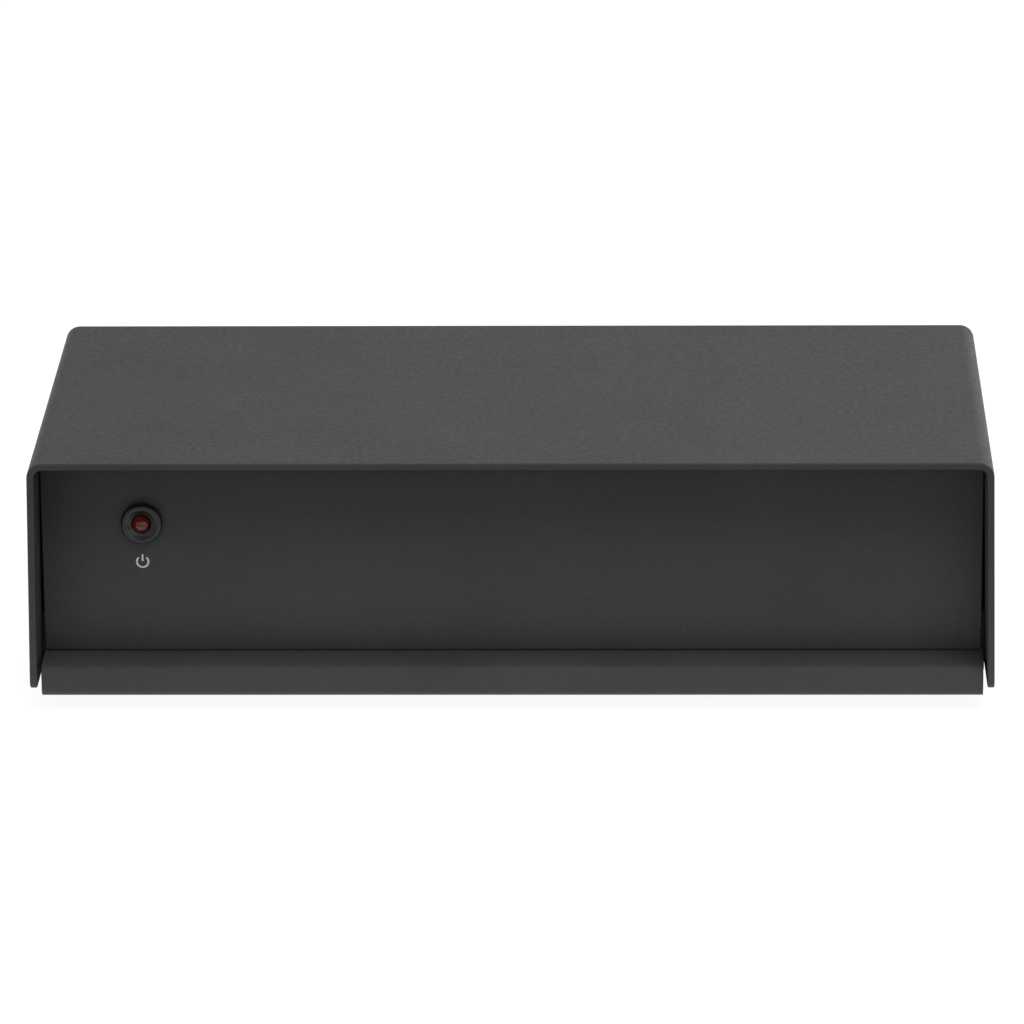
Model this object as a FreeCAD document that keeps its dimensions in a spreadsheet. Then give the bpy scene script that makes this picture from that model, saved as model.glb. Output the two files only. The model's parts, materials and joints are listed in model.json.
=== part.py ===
import FreeCAD, Part
import math
import os

import Sketcher

# A phono preamplifier in a two-piece folded steel case. The chassis is one bent strip: front
# lip, ledge, recessed front panel, floor and rear panel. The cover is folded down over it.
# Lengths are in millimetres. X points right seen from the front, the front faces -Y and Z
# is up. The origin is on the table, under the middle of the whole object.
#
# Most pieces are drawn in the case's own frame: x from the middle, y back from the cover's
# front edge and z up from the chassis' underside.

Vector = FreeCAD.Vector
Rotation = FreeCAD.Rotation

UP = Vector(0, 0, 1)
DEPTH = Vector(0, 1, 0)
TOUCH = 1e-6

# Driving sizes: name, value and what it measures
SIZES = (
    ("cover_width", 165.0, "cover, across its two bends"),
    ("cover_depth", 79.5, "cover, front to back"),
    ("case_height", 43.05, "chassis underside to cover top"),
    ("cover_sheet", 1.2, "cover, thickness"),
    ("cover_bend", 2.6, "cover, outside radius of the bends"),
    ("wall_flare", 0.66, "how much wider each cover wall stands at its lower edge"),
    ("wall_rise", 1.8, "cover walls' lower edge above the chassis' underside"),
    ("wall_corner", 2.0, "radius of the walls' lower corners"),
    ("edge_break", 0.15, "chamfer along the cover's front and rear edges"),
    ("strip_gap", 0.05, "chassis strip's side edges to the cover walls"),
    ("chassis_sheet", 1.2, "chassis, thickness"),
    ("chassis_bend", 0.5, "chassis, inside radius of the bends"),
    ("seam_width", 0.4, "scored seam where the front panel meets the ledge, width"),
    ("seam_depth", 0.5, "scored seam where the front panel meets the ledge, depth"),
    ("strip_break", 0.2, "chamfer along the strip's outer side edges"),
    ("lip_setback", 1.5, "lip behind the cover's front edge"),
    ("lip_height", 5.55, "lip, underside to ledge"),
    ("ledge_depth", 8.4, "lip face to panel face"),
    ("panel_gap", 0.25, "panels' top edge below the cover"),
    ("rear_setback", 2.0, "rear panel inside the cover's rear edge"),
    ("flange_start", 12.0, "side flanges, behind the cover's front edge"),
    ("flange_stop", 6.0, "side flanges, before the cover's rear edge"),
    ("flange_height", 12.0, "side flanges, height"),
    ("flange_gap", 0.1, "side flange to cover wall"),
    ("case_screw_front", 38.0, "front cover screws behind the cover's front edge"),
    ("case_screw_rear", 14.0, "rear cover screws before the cover's rear edge"),
    ("case_screw_rise", 7.4, "cover screws above the chassis' underside"),
    ("foot_height", 3.0, "rubber feet, height"),
    ("foot_radius", 6.0, "rubber feet, radius at the top"),
    ("foot_inset_side", 9.0, "feet centres from the chassis' sides"),
    ("foot_inset_front", 18.0, "front feet centres from the cover's front edge"),
    ("foot_inset_rear", 13.0, "rear feet centres from the rear panel"),
    ("lamp_x", -63.85, "power lamp, to the left of the middle"),
    ("lamp_rise", 29.2, "power lamp above the chassis' underside"),
    ("bezel_radius", 3.58, "lamp bezel, radius"),
    ("bezel_proud", 1.6, "lamp bezel, in front of the panel"),
    ("barrel_radius", 2.9, "lamp bezel, radius behind the panel"),
    ("barrel_length", 6.5, "lamp bezel, length behind the panel face"),
    ("lamp_radius", 1.5, "lamp, radius"),
    ("lamp_proud", 0.75, "lamp dome in front of the bezel"),
    ("lamp_length", 5.3, "lamp, base to tip"),
    ("lamp_leg_gap", 2.54, "lamp legs, centre to centre"),
    ("lamp_leg_back", 10.6, "lamp legs' drop behind the panel face"),
    ("board_width", 132.0, "circuit board, left to right"),
    ("board_depth", 58.0, "circuit board, front to back"),
    ("board_sheet", 1.6, "circuit board, thickness"),
    ("board_rear_gap", 0.4, "circuit board to rear panel"),
    ("board_hole_inset", 4.5, "board holes from the board's sides"),
    ("board_hole_front", 12.0, "front board holes from the board's front edge"),
    ("board_hole_rear", 14.0, "rear board holes from the board's rear edge"),
    ("standoff_height", 5.0, "board standoffs, height"),
    ("standoff_flats", 5.0, "board standoffs, across flats"),
    ("screw_radius", 1.5, "M3 screws, radius"),
    ("thread_gap", 0.05, "screw to tapped hole"),
    ("clear_gap", 0.2, "screw to clearance hole"),
    ("socket_spacing", 14.0, "phono sockets of one block, centre to centre"),
    ("socket_rise", 9.0, "phono sockets above the board"),
    ("socket_reach", 9.0, "phono sockets behind the rear panel"),
    ("socket_seat", 6.0, "phono socket inserts inside their housing"),
    ("socket_slot", 0.9, "phono socket shell to its panel hole"),
    ("shell_radius", 4.15, "phono socket shell, radius"),
    ("shell_sheet", 0.4, "phono socket shell, thickness"),
    ("contact_bore", 1.65, "phono socket centre contact, inside radius"),
    ("contact_sheet", 0.35, "phono socket centre contact, thickness"),
    ("housing_width", 29.0, "phono socket housing, width"),
    ("housing_depth", 9.0, "phono socket housing, depth"),
    ("housing_crown", 5.6, "phono socket housing above the socket axis"),
    ("socket_screw_drop", 5.0, "housing's fixing screw below the socket axis"),
    ("input_x", 47.0, "input block, right of the middle"),
    ("output_x", -6.0, "output block, left of the middle"),
    ("supply_x", -48.0, "supply socket, left of the middle"),
    ("supply_rise", 6.5, "supply socket above the board"),
    ("supply_bore", 2.85, "supply socket, barrel hole radius"),
    ("supply_pin", 1.05, "supply socket, pin radius"),
    ("supply_deep", 9.0, "supply socket, barrel hole depth"),
    ("ground_x", 20.5, "ground post, right of the middle"),
    ("ground_rise", 19.0, "ground post above the chassis' underside"),
    ("stud_radius", 2.0, "ground post, M4 stud radius"),
    ("stud_reach", 12.0, "ground post, behind the rear panel"),
    ("lock_nut_height", 2.2, "ground post lock nut, thickness"),
    ("wire_gap", 0.3, "lock nut to captive washer, at rest"),
    ("washer_radius", 5.0, "captive washer, radius"),
    ("washer_sheet", 1.2, "captive washer, thickness"),
    ("thumb_radius", 5.0, "thumb nut, radius over the knurl"),
    ("thumb_length", 6.0, "thumb nut, length of the knurled head"),
    ("knurl_count", 20, "thumb nut, number of grooves"),
)


class Size:
    """A number tied to the sheet: its value now, and the expression that keeps it up to date."""

    def __init__(self, value, text):
        self.value = value
        self.text = text

    def __add__(self, other):
        other = tied(other)
        return Size(self.value + other.value, f"({self.text} + {other.text})")

    def __radd__(self, other):
        return tied(other) + self

    def __sub__(self, other):
        other = tied(other)
        return Size(self.value - other.value, f"({self.text} - {other.text})")

    def __rsub__(self, other):
        return tied(other) - self

    def __mul__(self, other):
        other = tied(other)
        return Size(self.value * other.value, f"({self.text} * {other.text})")

    def __rmul__(self, other):
        return tied(other) * self

    def __truediv__(self, other):
        other = tied(other)
        return Size(self.value / other.value, f"({self.text} / {other.text})")

    def __neg__(self):
        return Size(-self.value, f"(0 - {self.text})")


def tied(number):
    """The number itself if it is a Size, else a constant Size."""
    if isinstance(number, Size):
        return number
    return Size(float(number), f"({float(number):.6f})")


def slope_angle(rise, run):
    """The angle in degrees whose tangent is rise over run."""
    rise = tied(rise)
    run = tied(run)
    angle = math.degrees(math.atan2(rise.value, run.value))
    return Size(angle, f"(atan({rise.text} / {run.text}) / 1 deg)")


class Sheet:
    """The document's sheet of driving sizes, read as attributes."""

    def __init__(self, rows):
        sheet = doc.addObject("Spreadsheet::Sheet", "Sizes")
        for row, (alias, value, meaning) in enumerate(rows, start=1):
            sheet.set(f"A{row}", meaning)
            sheet.set(f"B{row}", str(value))
            sheet.setAlias(f"B{row}", alias)
            setattr(self, alias, Size(float(value), f"Sizes.{alias}"))
        doc.recompute()


def bind(thing, path, size):
    """Tie one property or constraint of an object to a size."""
    thing.setExpression(path, tied(size).text)


def hold(sketch, kind, *where, size):
    """Add one dimension to a sketch and tie it to a size."""
    size = tied(size)
    index = sketch.addConstraint(Sketcher.Constraint(kind, *where, size.value))
    bind(sketch, f"Constraints[{index}]", size)


def hold_point(sketch, geometry, end, across, up):
    """Fix one point of a sketch from the sketch's origin."""
    hold(sketch, "DistanceX", -1, 1, geometry, end, size=across)
    hold(sketch, "DistanceY", -1, 1, geometry, end, size=up)


def outline(sketch, corners):
    """Draw a closed outline through (across, up) corners; a third number rounds the corner."""
    places = [[tied(number) for number in corner] for corner in corners]
    points = [Vector(place[0].value, place[1].value, 0) for place in places]
    trims = []
    for index, (place, point) in enumerate(zip(places, points)):
        back = (points[index - 1] - point).normalize()
        ahead = (points[(index + 1) % len(points)] - point).normalize()
        if len(place) == 2:
            trims.append((point, point, None))
            continue
        half_turn = back.getAngle(ahead) / 2
        cut = place[2].value / math.tan(half_turn)
        middle = (back + ahead).normalize() * (place[2].value / math.sin(half_turn))
        trims.append((point + back * cut, point + ahead * cut, point + middle))
    first = sketch.GeometryCount
    for index in range(len(points)):
        following = trims[(index + 1) % len(points)]
        sketch.addGeometry(Part.LineSegment(trims[index][1], following[0]))
    for index, place in enumerate(places):
        line_in = first + (index - 1) % len(points)
        line_out = first + index
        if len(place) == 2:
            sketch.addConstraint(Sketcher.Constraint("Coincident", line_in, 2, line_out, 1))
            hold_point(sketch, line_out, 1, place[0], place[1])
            continue
        round_corner(sketch, place, points[index], trims[index], line_in, line_out)


def round_corner(sketch, place, point, trim, line_in, line_out):
    """Join two lines of an outline with an arc tangent to both, dimensioned at the corner."""
    arc_in, arc_out, centre = trim
    turns_left = (arc_out - point).cross(arc_in - point).z > 0
    begin, finish = (arc_in, arc_out) if turns_left else (arc_out, arc_in)
    begin_angle = math.atan2(begin.y - centre.y, begin.x - centre.x)
    finish_angle = math.atan2(finish.y - centre.y, finish.x - centre.x)
    if finish_angle < begin_angle:
        finish_angle += 2 * math.pi
    circle = Part.Circle(centre, UP, place[2].value)
    arc = sketch.addGeometry(Part.ArcOfCircle(circle, begin_angle, finish_angle))
    corner = sketch.addGeometry(Part.Point(point), True)
    end_in, end_out = (1, 2) if turns_left else (2, 1)
    sketch.addConstraint(Sketcher.Constraint("Tangent", line_in, 2, arc, end_in))
    sketch.addConstraint(Sketcher.Constraint("Tangent", arc, end_out, line_out, 1))
    sketch.addConstraint(Sketcher.Constraint("PointOnObject", corner, 1, line_in))
    sketch.addConstraint(Sketcher.Constraint("PointOnObject", corner, 1, line_out))
    hold(sketch, "Radius", arc, size=place[2])
    hold_point(sketch, corner, 1, place[0], place[1])


def circle(sketch, across, up, radius):
    """Draw a circle, held at its centre."""
    across, up, radius = tied(across), tied(up), tied(radius)
    centre = Vector(across.value, up.value, 0)
    ring = sketch.addGeometry(Part.Circle(centre, UP, radius.value))
    hold_point(sketch, ring, 3, across, up)
    hold(sketch, "Radius", ring, size=radius)


def rectangle(sketch, left, low, right, high, radius=None):
    """Draw a rectangle, with its corners rounded if a radius is given."""
    corners = [(left, low), (right, low), (right, high), (left, high)]
    if radius is not None:
        corners = [corner + (radius,) for corner in corners]
    outline(sketch, corners)


def hexagon(sketch, flats, x=0, y=0):
    """Draw a hexagon about a point, two of its flats level."""
    x, y, half = tied(x), tied(y), tied(flats) / 2
    corner = tied(flats) / math.sqrt(3)
    outline(sketch, [
        (x + corner, y),
        (x + corner / 2, y + half),
        (x - corner / 2, y + half),
        (x - corner, y),
        (x - corner / 2, y - half),
        (x + corner / 2, y - half),
    ])


class Piece:
    """One physical piece: a body in the document, built up feature by feature."""

    def __init__(self, label, x=0, y=0, z=0, turn=None):
        self.body = doc.addObject("PartDesign::Body", label)
        self.body.Label = label
        put(self.body, x, y, z, turn)

    def origin(self, role):
        """One of the body's own origin planes or axes."""
        features = self.body.Origin.OriginFeatures
        return next(feature for feature in features if feature.Role == role)

    def sketch(self, role, offset=0):
        """An empty sketch on an origin plane, moved along the plane's normal."""
        sketch = self.body.newObject("Sketcher::SketchObject", f"{self.body.Name}_sketch")
        sketch.AttachmentSupport = [(self.origin(role), "")]
        sketch.MapMode = "FlatFace"
        bind(sketch, "AttachmentOffset.Base.z", offset)
        return sketch

    def add(self, kind, sketch=None):
        """A new feature at the body's tip."""
        feature = self.body.newObject(f"PartDesign::{kind}", f"{self.body.Name}_{kind.lower()}")
        if sketch is not None:
            feature.Profile = sketch
        self.body.Tip = feature
        return feature

    def pad(self, sketch, length, both=False, back=False):
        """Add material along the sketch's normal, against it, or half to each side."""
        feature = self.add("Pad", sketch)
        feature.SideType = "Symmetric" if both else "One side"
        feature.Reversed = back
        bind(feature, "Length", length)
        return self.grown(feature, 1)

    def pocket(self, sketch, length=None, back=False):
        """Cut against the sketch's normal or along it, or right through with no length."""
        feature = self.add("Pocket", sketch)
        if length is None:
            feature.Type = "ThroughAll"
            feature.SideType = "Symmetric"
        else:
            feature.Reversed = back
            bind(feature, "Length", length)
        return self.grown(feature, -1)

    def revolve(self, sketch, axis="V_Axis"):
        """Turn a profile about one of its sketch's axes."""
        feature = self.add("Revolution", sketch)
        feature.ReferenceAxis = (sketch, [axis])
        feature.Angle = 360
        return self.grown(feature, 1)

    def pipe(self, sketch, path):
        """Carry a profile along a path."""
        feature = self.add("AdditivePipe", sketch)
        feature.Spine = (path, [f"Edge{n + 1}" for n in range(len(path.Shape.Edges))])
        return self.grown(feature, 1)

    def repeat_round(self, original, axis, count):
        """Repeat a feature evenly round an origin axis."""
        feature = self.add("PolarPattern")
        feature.Originals = [original]
        feature.Axis = (self.origin(axis), [""])
        feature.Angle = 360
        bind(feature, "Occurrences", count)
        doc.recompute()
        return feature

    def repeat_along(self, original, axis, step, count):
        """Repeat a feature along an origin axis at an even step."""
        feature = self.add("LinearPattern")
        feature.Originals = [original]
        feature.Direction = (self.origin(axis), [""])
        feature.Mode = "Spacing"
        bind(feature, "Offset", step)
        feature.Occurrences = count
        doc.recompute()
        return feature

    def soften(self, kind, size, chosen):
        """Round or chamfer the tip's edges that the test picks out."""
        base = self.body.Tip
        edges = base.Shape.Edges
        names = [f"Edge{n + 1}" for n, edge in enumerate(edges) if chosen(edge)]
        if not names:
            raise ValueError(f"no edge chosen on {self.body.Label}")
        feature = self.add(kind)
        feature.Base = (base, names)
        bind(feature, "Radius" if kind == "Fillet" else "Size", size)
        doc.recompute()
        return feature

    def grown(self, feature, sign):
        """Recompute, and make sure that the feature added or cut something."""
        before = feature.BaseFeature
        volume = before.Shape.Volume if before else 0
        doc.recompute()
        if (feature.Shape.Volume - volume) * sign < TOUCH:
            raise ValueError(f"{feature.Name} changed nothing")
        return feature


def put(thing, x, y, z, turn=None):
    """Place an object in the case's frame; turn is an axis and an angle in degrees."""
    if turn is not None:
        thing.Placement = FreeCAD.Placement(Vector(), Rotation(turn[0], 90))
        bind(thing, "Placement.Rotation.Angle", turn[1])
    bind(thing, "Placement.Base.x", x)
    bind(thing, "Placement.Base.y", front + y)
    bind(thing, "Placement.Base.z", sizes.foot_height + z)


def group(label, piece, places):
    """One node of identical pieces: a linked copy of the piece at each place."""
    copies = []
    for number, place in enumerate(places, start=1):
        copy = doc.addObject("App::Link", f"{label}_{number}")
        copy.LinkedObject = piece.body
        put(copy, *place)
        copies.append(copy)
    whole = doc.addObject("Part::Compound", label)
    whole.Label = label
    whole.Links = copies
    nodes.append(whole)


def keep(piece):
    """Hand a piece over as a node of its own."""
    nodes.append(piece.body)


def runs_along(edge, direction):
    """True for a straight edge parallel to a direction."""
    if not isinstance(edge.Curve, Part.Line):
        return False
    return edge.Curve.Direction.cross(direction).Length < TOUCH


def level_with(edge, direction, distance):
    """True for an edge that lies in the plane at a distance along a direction."""
    ends = [edge.valueAt(edge.FirstParameter), edge.valueAt(edge.LastParameter)]
    ends.append(edge.valueAt((edge.FirstParameter + edge.LastParameter) / 2))
    return all(abs(end.dot(direction) - tied(distance).value) < 1e-4 for end in ends)


# Places that several pieces share, in the case's frame
doc = FreeCAD.newDocument("phono_preamp")
sizes = Sheet(SIZES)
nodes = []

panel_face = sizes.lip_setback + sizes.ledge_depth
chassis_width = sizes.cover_width - 2 * sizes.cover_sheet - 2 * sizes.strip_gap
panel_top = sizes.case_height - sizes.cover_sheet - sizes.panel_gap
rear_face = sizes.cover_depth - sizes.rear_setback
rear_inside = rear_face - sizes.chassis_sheet
post_end = rear_face + sizes.stud_reach
front = -post_end / 2

board_under = sizes.chassis_sheet + sizes.standoff_height
board_top = board_under + sizes.board_sheet
board_rear = rear_inside - sizes.board_rear_gap
board_front = board_rear - sizes.board_depth
socket_rise = board_top + sizes.socket_rise
supply_rise = board_top + sizes.supply_rise

case_screw_rows = (sizes.case_screw_front, sizes.cover_depth - sizes.case_screw_rear)
board_hole_x = sizes.board_width / 2 - sizes.board_hole_inset
board_hole_rows = (board_front + sizes.board_hole_front, board_rear - sizes.board_hole_rear)
board_holes = [(side * board_hole_x, row) for side in (-1, 1) for row in board_hole_rows]


def wall_outside(rise):
    """Half the cover's width over its leaning walls, at a height."""
    share = (sizes.case_height - rise) / (sizes.case_height - sizes.wall_rise)
    return sizes.cover_width / 2 + sizes.wall_flare * share


def make_cover():
    """The cover: top and both walls in one bent sheet, coated, with rounded edges."""
    piece = Piece("cover")
    half = sizes.cover_width / 2
    low_half = half + sizes.wall_flare
    sheet = sizes.cover_sheet
    under_top = sizes.case_height - sheet
    inside_bend = sizes.cover_bend - sheet
    profile = piece.sketch("XZ_Plane")
    outline(profile, [
        (-low_half, sizes.wall_rise),
        (-half, sizes.case_height, sizes.cover_bend),
        (half, sizes.case_height, sizes.cover_bend),
        (low_half, sizes.wall_rise),
        (low_half - sheet, sizes.wall_rise),
        (half - sheet, under_top, inside_bend),
        (sheet - half, under_top, inside_bend),
        (sheet - low_half, sizes.wall_rise),
    ])
    piece.pad(profile, sizes.cover_depth, back=True)
    holes = piece.sketch("YZ_Plane")
    for row in case_screw_rows:
        circle(holes, row, sizes.case_screw_rise, sizes.screw_radius + sizes.clear_gap)
    piece.pocket(holes)
    side = Vector(1, 0, 0)
    piece.soften("Fillet", sizes.wall_corner, lambda edge: runs_along(edge, side)
                 and level_with(edge, UP, sizes.wall_rise))
    above_corner = sizes.wall_rise.value + sizes.wall_corner.value + TOUCH
    piece.soften("Chamfer", sizes.edge_break, lambda edge: edge.BoundBox.ZMax > above_corner
                 and (level_with(edge, DEPTH, 0) or level_with(edge, DEPTH, sizes.cover_depth)))
    keep(piece)


def make_chassis():
    """The chassis: lip, ledge, front panel, floor and rear panel, with two low side flanges."""
    piece = Piece("chassis")
    sheet = sizes.chassis_sheet
    inside = sizes.chassis_bend
    outside = inside + sheet
    lip = sizes.lip_setback
    profile = piece.sketch("YZ_Plane")
    outline(profile, [
        (panel_face, panel_top),
        (panel_face, sizes.lip_height + sizes.seam_width),
        (panel_face + sizes.seam_depth, sizes.lip_height + sizes.seam_width),
        (panel_face + sizes.seam_depth, sizes.lip_height),
        (lip, sizes.lip_height, outside),
        (lip, 0, outside),
        (rear_face, 0, outside),
        (rear_face, panel_top),
        (rear_inside, panel_top),
        (rear_inside, sheet, inside),
        (lip + sheet, sheet, inside),
        (lip + sheet, sizes.lip_height - sheet, inside),
        (panel_face + sheet, sizes.lip_height - sheet, outside),
        (panel_face + sheet, panel_top),
    ])
    piece.pad(profile, chassis_width, both=True)
    half = chassis_width.value / 2
    side = Vector(1, 0, 0)
    piece.soften("Fillet", sizes.cover_bend - sizes.cover_sheet + sizes.panel_gap,
                 lambda edge: runs_along(edge, DEPTH) and level_with(edge, UP, panel_top))

    def on_front(edge):
        """An edge of the panel's front face at one of the strip's sides."""
        at_side = level_with(edge, side, half) or level_with(edge, side, -half)
        return at_side and level_with(edge, DEPTH, panel_face) and edge.Length > 10

    piece.soften("Chamfer", sizes.strip_break, on_front)
    flange_low = wall_outside(0) - sizes.cover_sheet - sizes.flange_gap
    flange_high = wall_outside(sizes.flange_height) - sizes.cover_sheet - sizes.flange_gap
    root = chassis_width / 2 - 3
    for sign in (-1, 1):
        fold = piece.sketch("XZ_Plane", -sizes.flange_start)
        outline(fold, [
            (sign * root, 0),
            (sign * flange_low, 0, outside),
            (sign * flange_high, sizes.flange_height),
            (sign * (flange_high - sheet), sizes.flange_height),
            (sign * (flange_low - sheet), sheet, inside),
            (sign * root, sheet),
        ])
        length = sizes.cover_depth - sizes.flange_stop - sizes.flange_start
        piece.pad(fold, length, back=True)
    cut_chassis_holes(piece)
    keep(piece)


def cut_chassis_holes(piece):
    """Holes of the chassis: lamp, rear sockets, ground post, standoffs and cover screws."""
    tapped = sizes.screw_radius + sizes.thread_gap
    sides = piece.sketch("YZ_Plane")
    for row in case_screw_rows:
        circle(sides, row, sizes.case_screw_rise, tapped)
    piece.pocket(sides)
    floor = piece.sketch("XY_Plane", -1)
    for x, y in board_holes:
        hexagon(floor, sizes.standoff_flats + sizes.thread_gap, x, y)
    piece.pocket(floor, sizes.chassis_sheet + 2, back=True)
    lamp = piece.sketch("XZ_Plane")
    circle(lamp, sizes.lamp_x, sizes.lamp_rise, sizes.barrel_radius + sizes.thread_gap)
    piece.pocket(lamp, panel_face + sizes.chassis_sheet + 1)
    rear = piece.sketch("XZ_Plane", 1 - rear_inside)
    for block in (sizes.input_x, sizes.output_x):
        for sign in (-1, 1):
            across = block + sign * sizes.socket_spacing / 2
            circle(rear, across, socket_rise, sizes.shell_radius + sizes.socket_slot)
        screw_rise = socket_rise - sizes.socket_screw_drop
        circle(rear, block, screw_rise, sizes.screw_radius + sizes.clear_gap)
    circle(rear, sizes.supply_x, supply_rise, supply_nose + sizes.clear_gap)
    circle(rear, sizes.ground_x, sizes.ground_rise, sizes.stud_radius + sizes.clear_gap)
    piece.pocket(rear, sizes.chassis_sheet + 2)


def make_screw(label, head_radius, head_height, shank, recess=0):
    """A round-headed M3 screw along Z, its head standing on the plane z = 0."""
    piece = Piece(label)
    profile = piece.sketch("XZ_Plane")
    outline(profile, [
        (0, -shank),
        (sizes.screw_radius, -shank),
        (sizes.screw_radius, 0),
        (head_radius, 0),
        (tied(head_radius) * 0.82, head_height),
        (0, head_height),
    ])
    piece.revolve(profile)
    if recess:
        cross = piece.sketch("XY_Plane", head_height)
        arm = tied(head_radius) * 0.55
        blade = 0.35
        outline(cross, [
            (arm, -blade), (arm, blade), (blade, blade), (blade, arm),
            (-blade, arm), (-blade, blade), (-arm, blade), (-arm, -blade),
            (-blade, -blade), (-blade, -arm), (blade, -arm), (blade, -blade),
        ])
        piece.pocket(cross, recess)
    return piece


def make_case_screws():
    """Four black screws that hold the cover's walls to the side flanges."""
    length = sizes.cover_sheet + sizes.flange_gap + sizes.chassis_sheet + 1.5
    screw = make_screw("cover_screw", 2.75, 1.7, length, recess=1.0)
    lean = slope_angle(sizes.wall_flare, sizes.case_height - sizes.wall_rise)
    seat = wall_outside(sizes.case_screw_rise)
    places = []
    for sign in (-1, 1):
        for row in case_screw_rows:
            turn = (Vector(0, sign, 0), 90 - lean)
            places.append((sign * seat, row, sizes.case_screw_rise, turn))
    group("cover_screws", screw, places)


def make_feet():
    """Four stick-on rubber feet, slightly tapered."""
    foot = Piece("rubber_foot")
    profile = foot.sketch("XZ_Plane")
    outline(profile, [
        (0, -sizes.foot_height),
        (sizes.foot_radius - 0.6, -sizes.foot_height),
        (sizes.foot_radius, 0),
        (0, 0),
    ])
    foot.revolve(profile)
    x = chassis_width / 2 - sizes.foot_inset_side
    rows = (sizes.foot_inset_front, rear_face - sizes.foot_inset_rear)
    group("rubber_feet", foot, [(side * x, row, 0) for side in (-1, 1) for row in rows])


def make_lamp():
    """The power lamp: bezel, retaining collar, lens and its two legs down to the board."""
    proud = sizes.bezel_proud
    lens_hole = sizes.lamp_radius + 0.1
    flange = sizes.lamp_radius + 0.4
    seat = sizes.lamp_length - sizes.lamp_proud - proud - 1
    bezel = Piece("led_bezel", sizes.lamp_x, panel_face, sizes.lamp_rise)
    profile = bezel.sketch("XY_Plane")
    outline(profile, [
        (lens_hole, -proud),
        (sizes.bezel_radius - 0.8, -proud),
        (sizes.bezel_radius - 0.1, -proud + 0.6),
        (sizes.bezel_radius, 0),
        (sizes.barrel_radius, 0),
        (sizes.barrel_radius, sizes.barrel_length),
        (flange + 0.1, sizes.barrel_length),
        (flange + 0.1, seat),
        (lens_hole, seat),
    ])
    bezel.revolve(profile)
    keep(bezel)

    collar = Piece("led_collar", sizes.lamp_x, panel_face, sizes.lamp_rise)
    profile = collar.sketch("XY_Plane")
    collar_inside = sizes.barrel_radius + sizes.thread_gap
    outline(profile, [
        (collar_inside, sizes.chassis_sheet),
        (sizes.barrel_radius + 1.3, sizes.chassis_sheet),
        (sizes.barrel_radius + 0.9, sizes.chassis_sheet + 3),
        (collar_inside, sizes.chassis_sheet + 3),
    ])
    collar.revolve(profile)
    keep(collar)

    lens = Piece("led_lens", sizes.lamp_x, panel_face, sizes.lamp_rise)
    tip = -proud - sizes.lamp_proud
    profile = lens.sketch("XY_Plane")
    outline(profile, [
        (0, tip),
        (sizes.lamp_radius * 0.6, tip + 0.25),
        (sizes.lamp_radius, tip + sizes.lamp_radius * 0.9),
        (sizes.lamp_radius, seat),
        (flange, seat),
        (flange, seat + 1),
        (0, seat + 1),
    ])
    lens.revolve(profile)
    keep(lens)

    leg = Piece("led_leg")
    start = seat + 1
    path = leg.sketch("YZ_Plane")
    drop = board_under - 1 - sizes.lamp_rise
    bend_path(path, start, sizes.lamp_leg_back, drop, 1.2)
    wire = leg.sketch("XZ_Plane", -start)
    rectangle(wire, -0.25, -0.25, 0.25, 0.25)
    leg.pipe(wire, path)
    half = sizes.lamp_leg_gap / 2
    places = [(sizes.lamp_x + side * half, panel_face, sizes.lamp_rise) for side in (-1, 1)]
    group("led_leads", leg, places)


def bend_path(sketch, start, corner, end, radius):
    """An open path: level from start to the corner, one bend, then straight to the end."""
    start, corner, end, radius = tied(start), tied(corner), tied(end), tied(radius)
    toward = 1 if corner.value > start.value else -1
    turned = Vector(corner.value - toward * radius.value, 0, 0)
    dropped = Vector(corner.value, -radius.value, 0)
    centre = Vector(turned.x, -radius.value, 0)
    level = sketch.addGeometry(Part.LineSegment(Vector(start.value, 0, 0), turned))
    fall = sketch.addGeometry(Part.LineSegment(dropped, Vector(corner.value, end.value, 0)))
    angles = (0, math.pi / 2) if toward > 0 else (math.pi / 2, math.pi)
    arc = sketch.addGeometry(Part.ArcOfCircle(Part.Circle(centre, UP, radius.value), *angles))
    near, far = (2, 1) if toward > 0 else (1, 2)
    sketch.addConstraint(Sketcher.Constraint("Tangent", level, 2, arc, near))
    sketch.addConstraint(Sketcher.Constraint("Tangent", arc, far, fall, 1))
    sketch.addConstraint(Sketcher.Constraint("Horizontal", level))
    sketch.addConstraint(Sketcher.Constraint("Vertical", fall))
    hold(sketch, "Radius", arc, size=radius)
    hold_point(sketch, level, 1, start, 0)
    hold_point(sketch, fall, 2, corner, end)
    doc.recompute()


def make_board():
    """The circuit board, with its screw holes and the slots that legs and tails pass through."""
    board = Piece("circuit_board", 0, 0, board_under)
    sheet = board.sketch("XY_Plane")
    half = sizes.board_width / 2
    rectangle(sheet, -half, board_front, half, board_rear, 1)
    board.pad(sheet, sizes.board_sheet)
    holes = board.sketch("XY_Plane")
    for x, y in board_holes:
        circle(holes, x, y, sizes.screw_radius + sizes.clear_gap)
    for side in (-1, 1):
        slot(holes, sizes.lamp_x + side * sizes.lamp_leg_gap / 2,
             panel_face + sizes.lamp_leg_back, 0.5, 0.5)
    for block in (sizes.input_x, sizes.output_x):
        for side in (-1, 1):
            slot(holes, block + side * sizes.socket_spacing / 2,
                 rear_inside - sizes.housing_depth - tail_back, tail_width, tail_sheet)
    for x, y in supply_tabs:
        slot(holes, sizes.supply_x + x, rear_inside + y, tab_width, tab_sheet)
    board.pocket(holes)
    keep(board)


def slot(sketch, x, y, width, depth):
    """A rectangular hole around a flat pin, with room on every side."""
    across = tied(width) / 2 + sizes.clear_gap
    along = tied(depth) / 2 + sizes.clear_gap
    rectangle(sketch, x - across, y - along, x + across, y + along)


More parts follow.
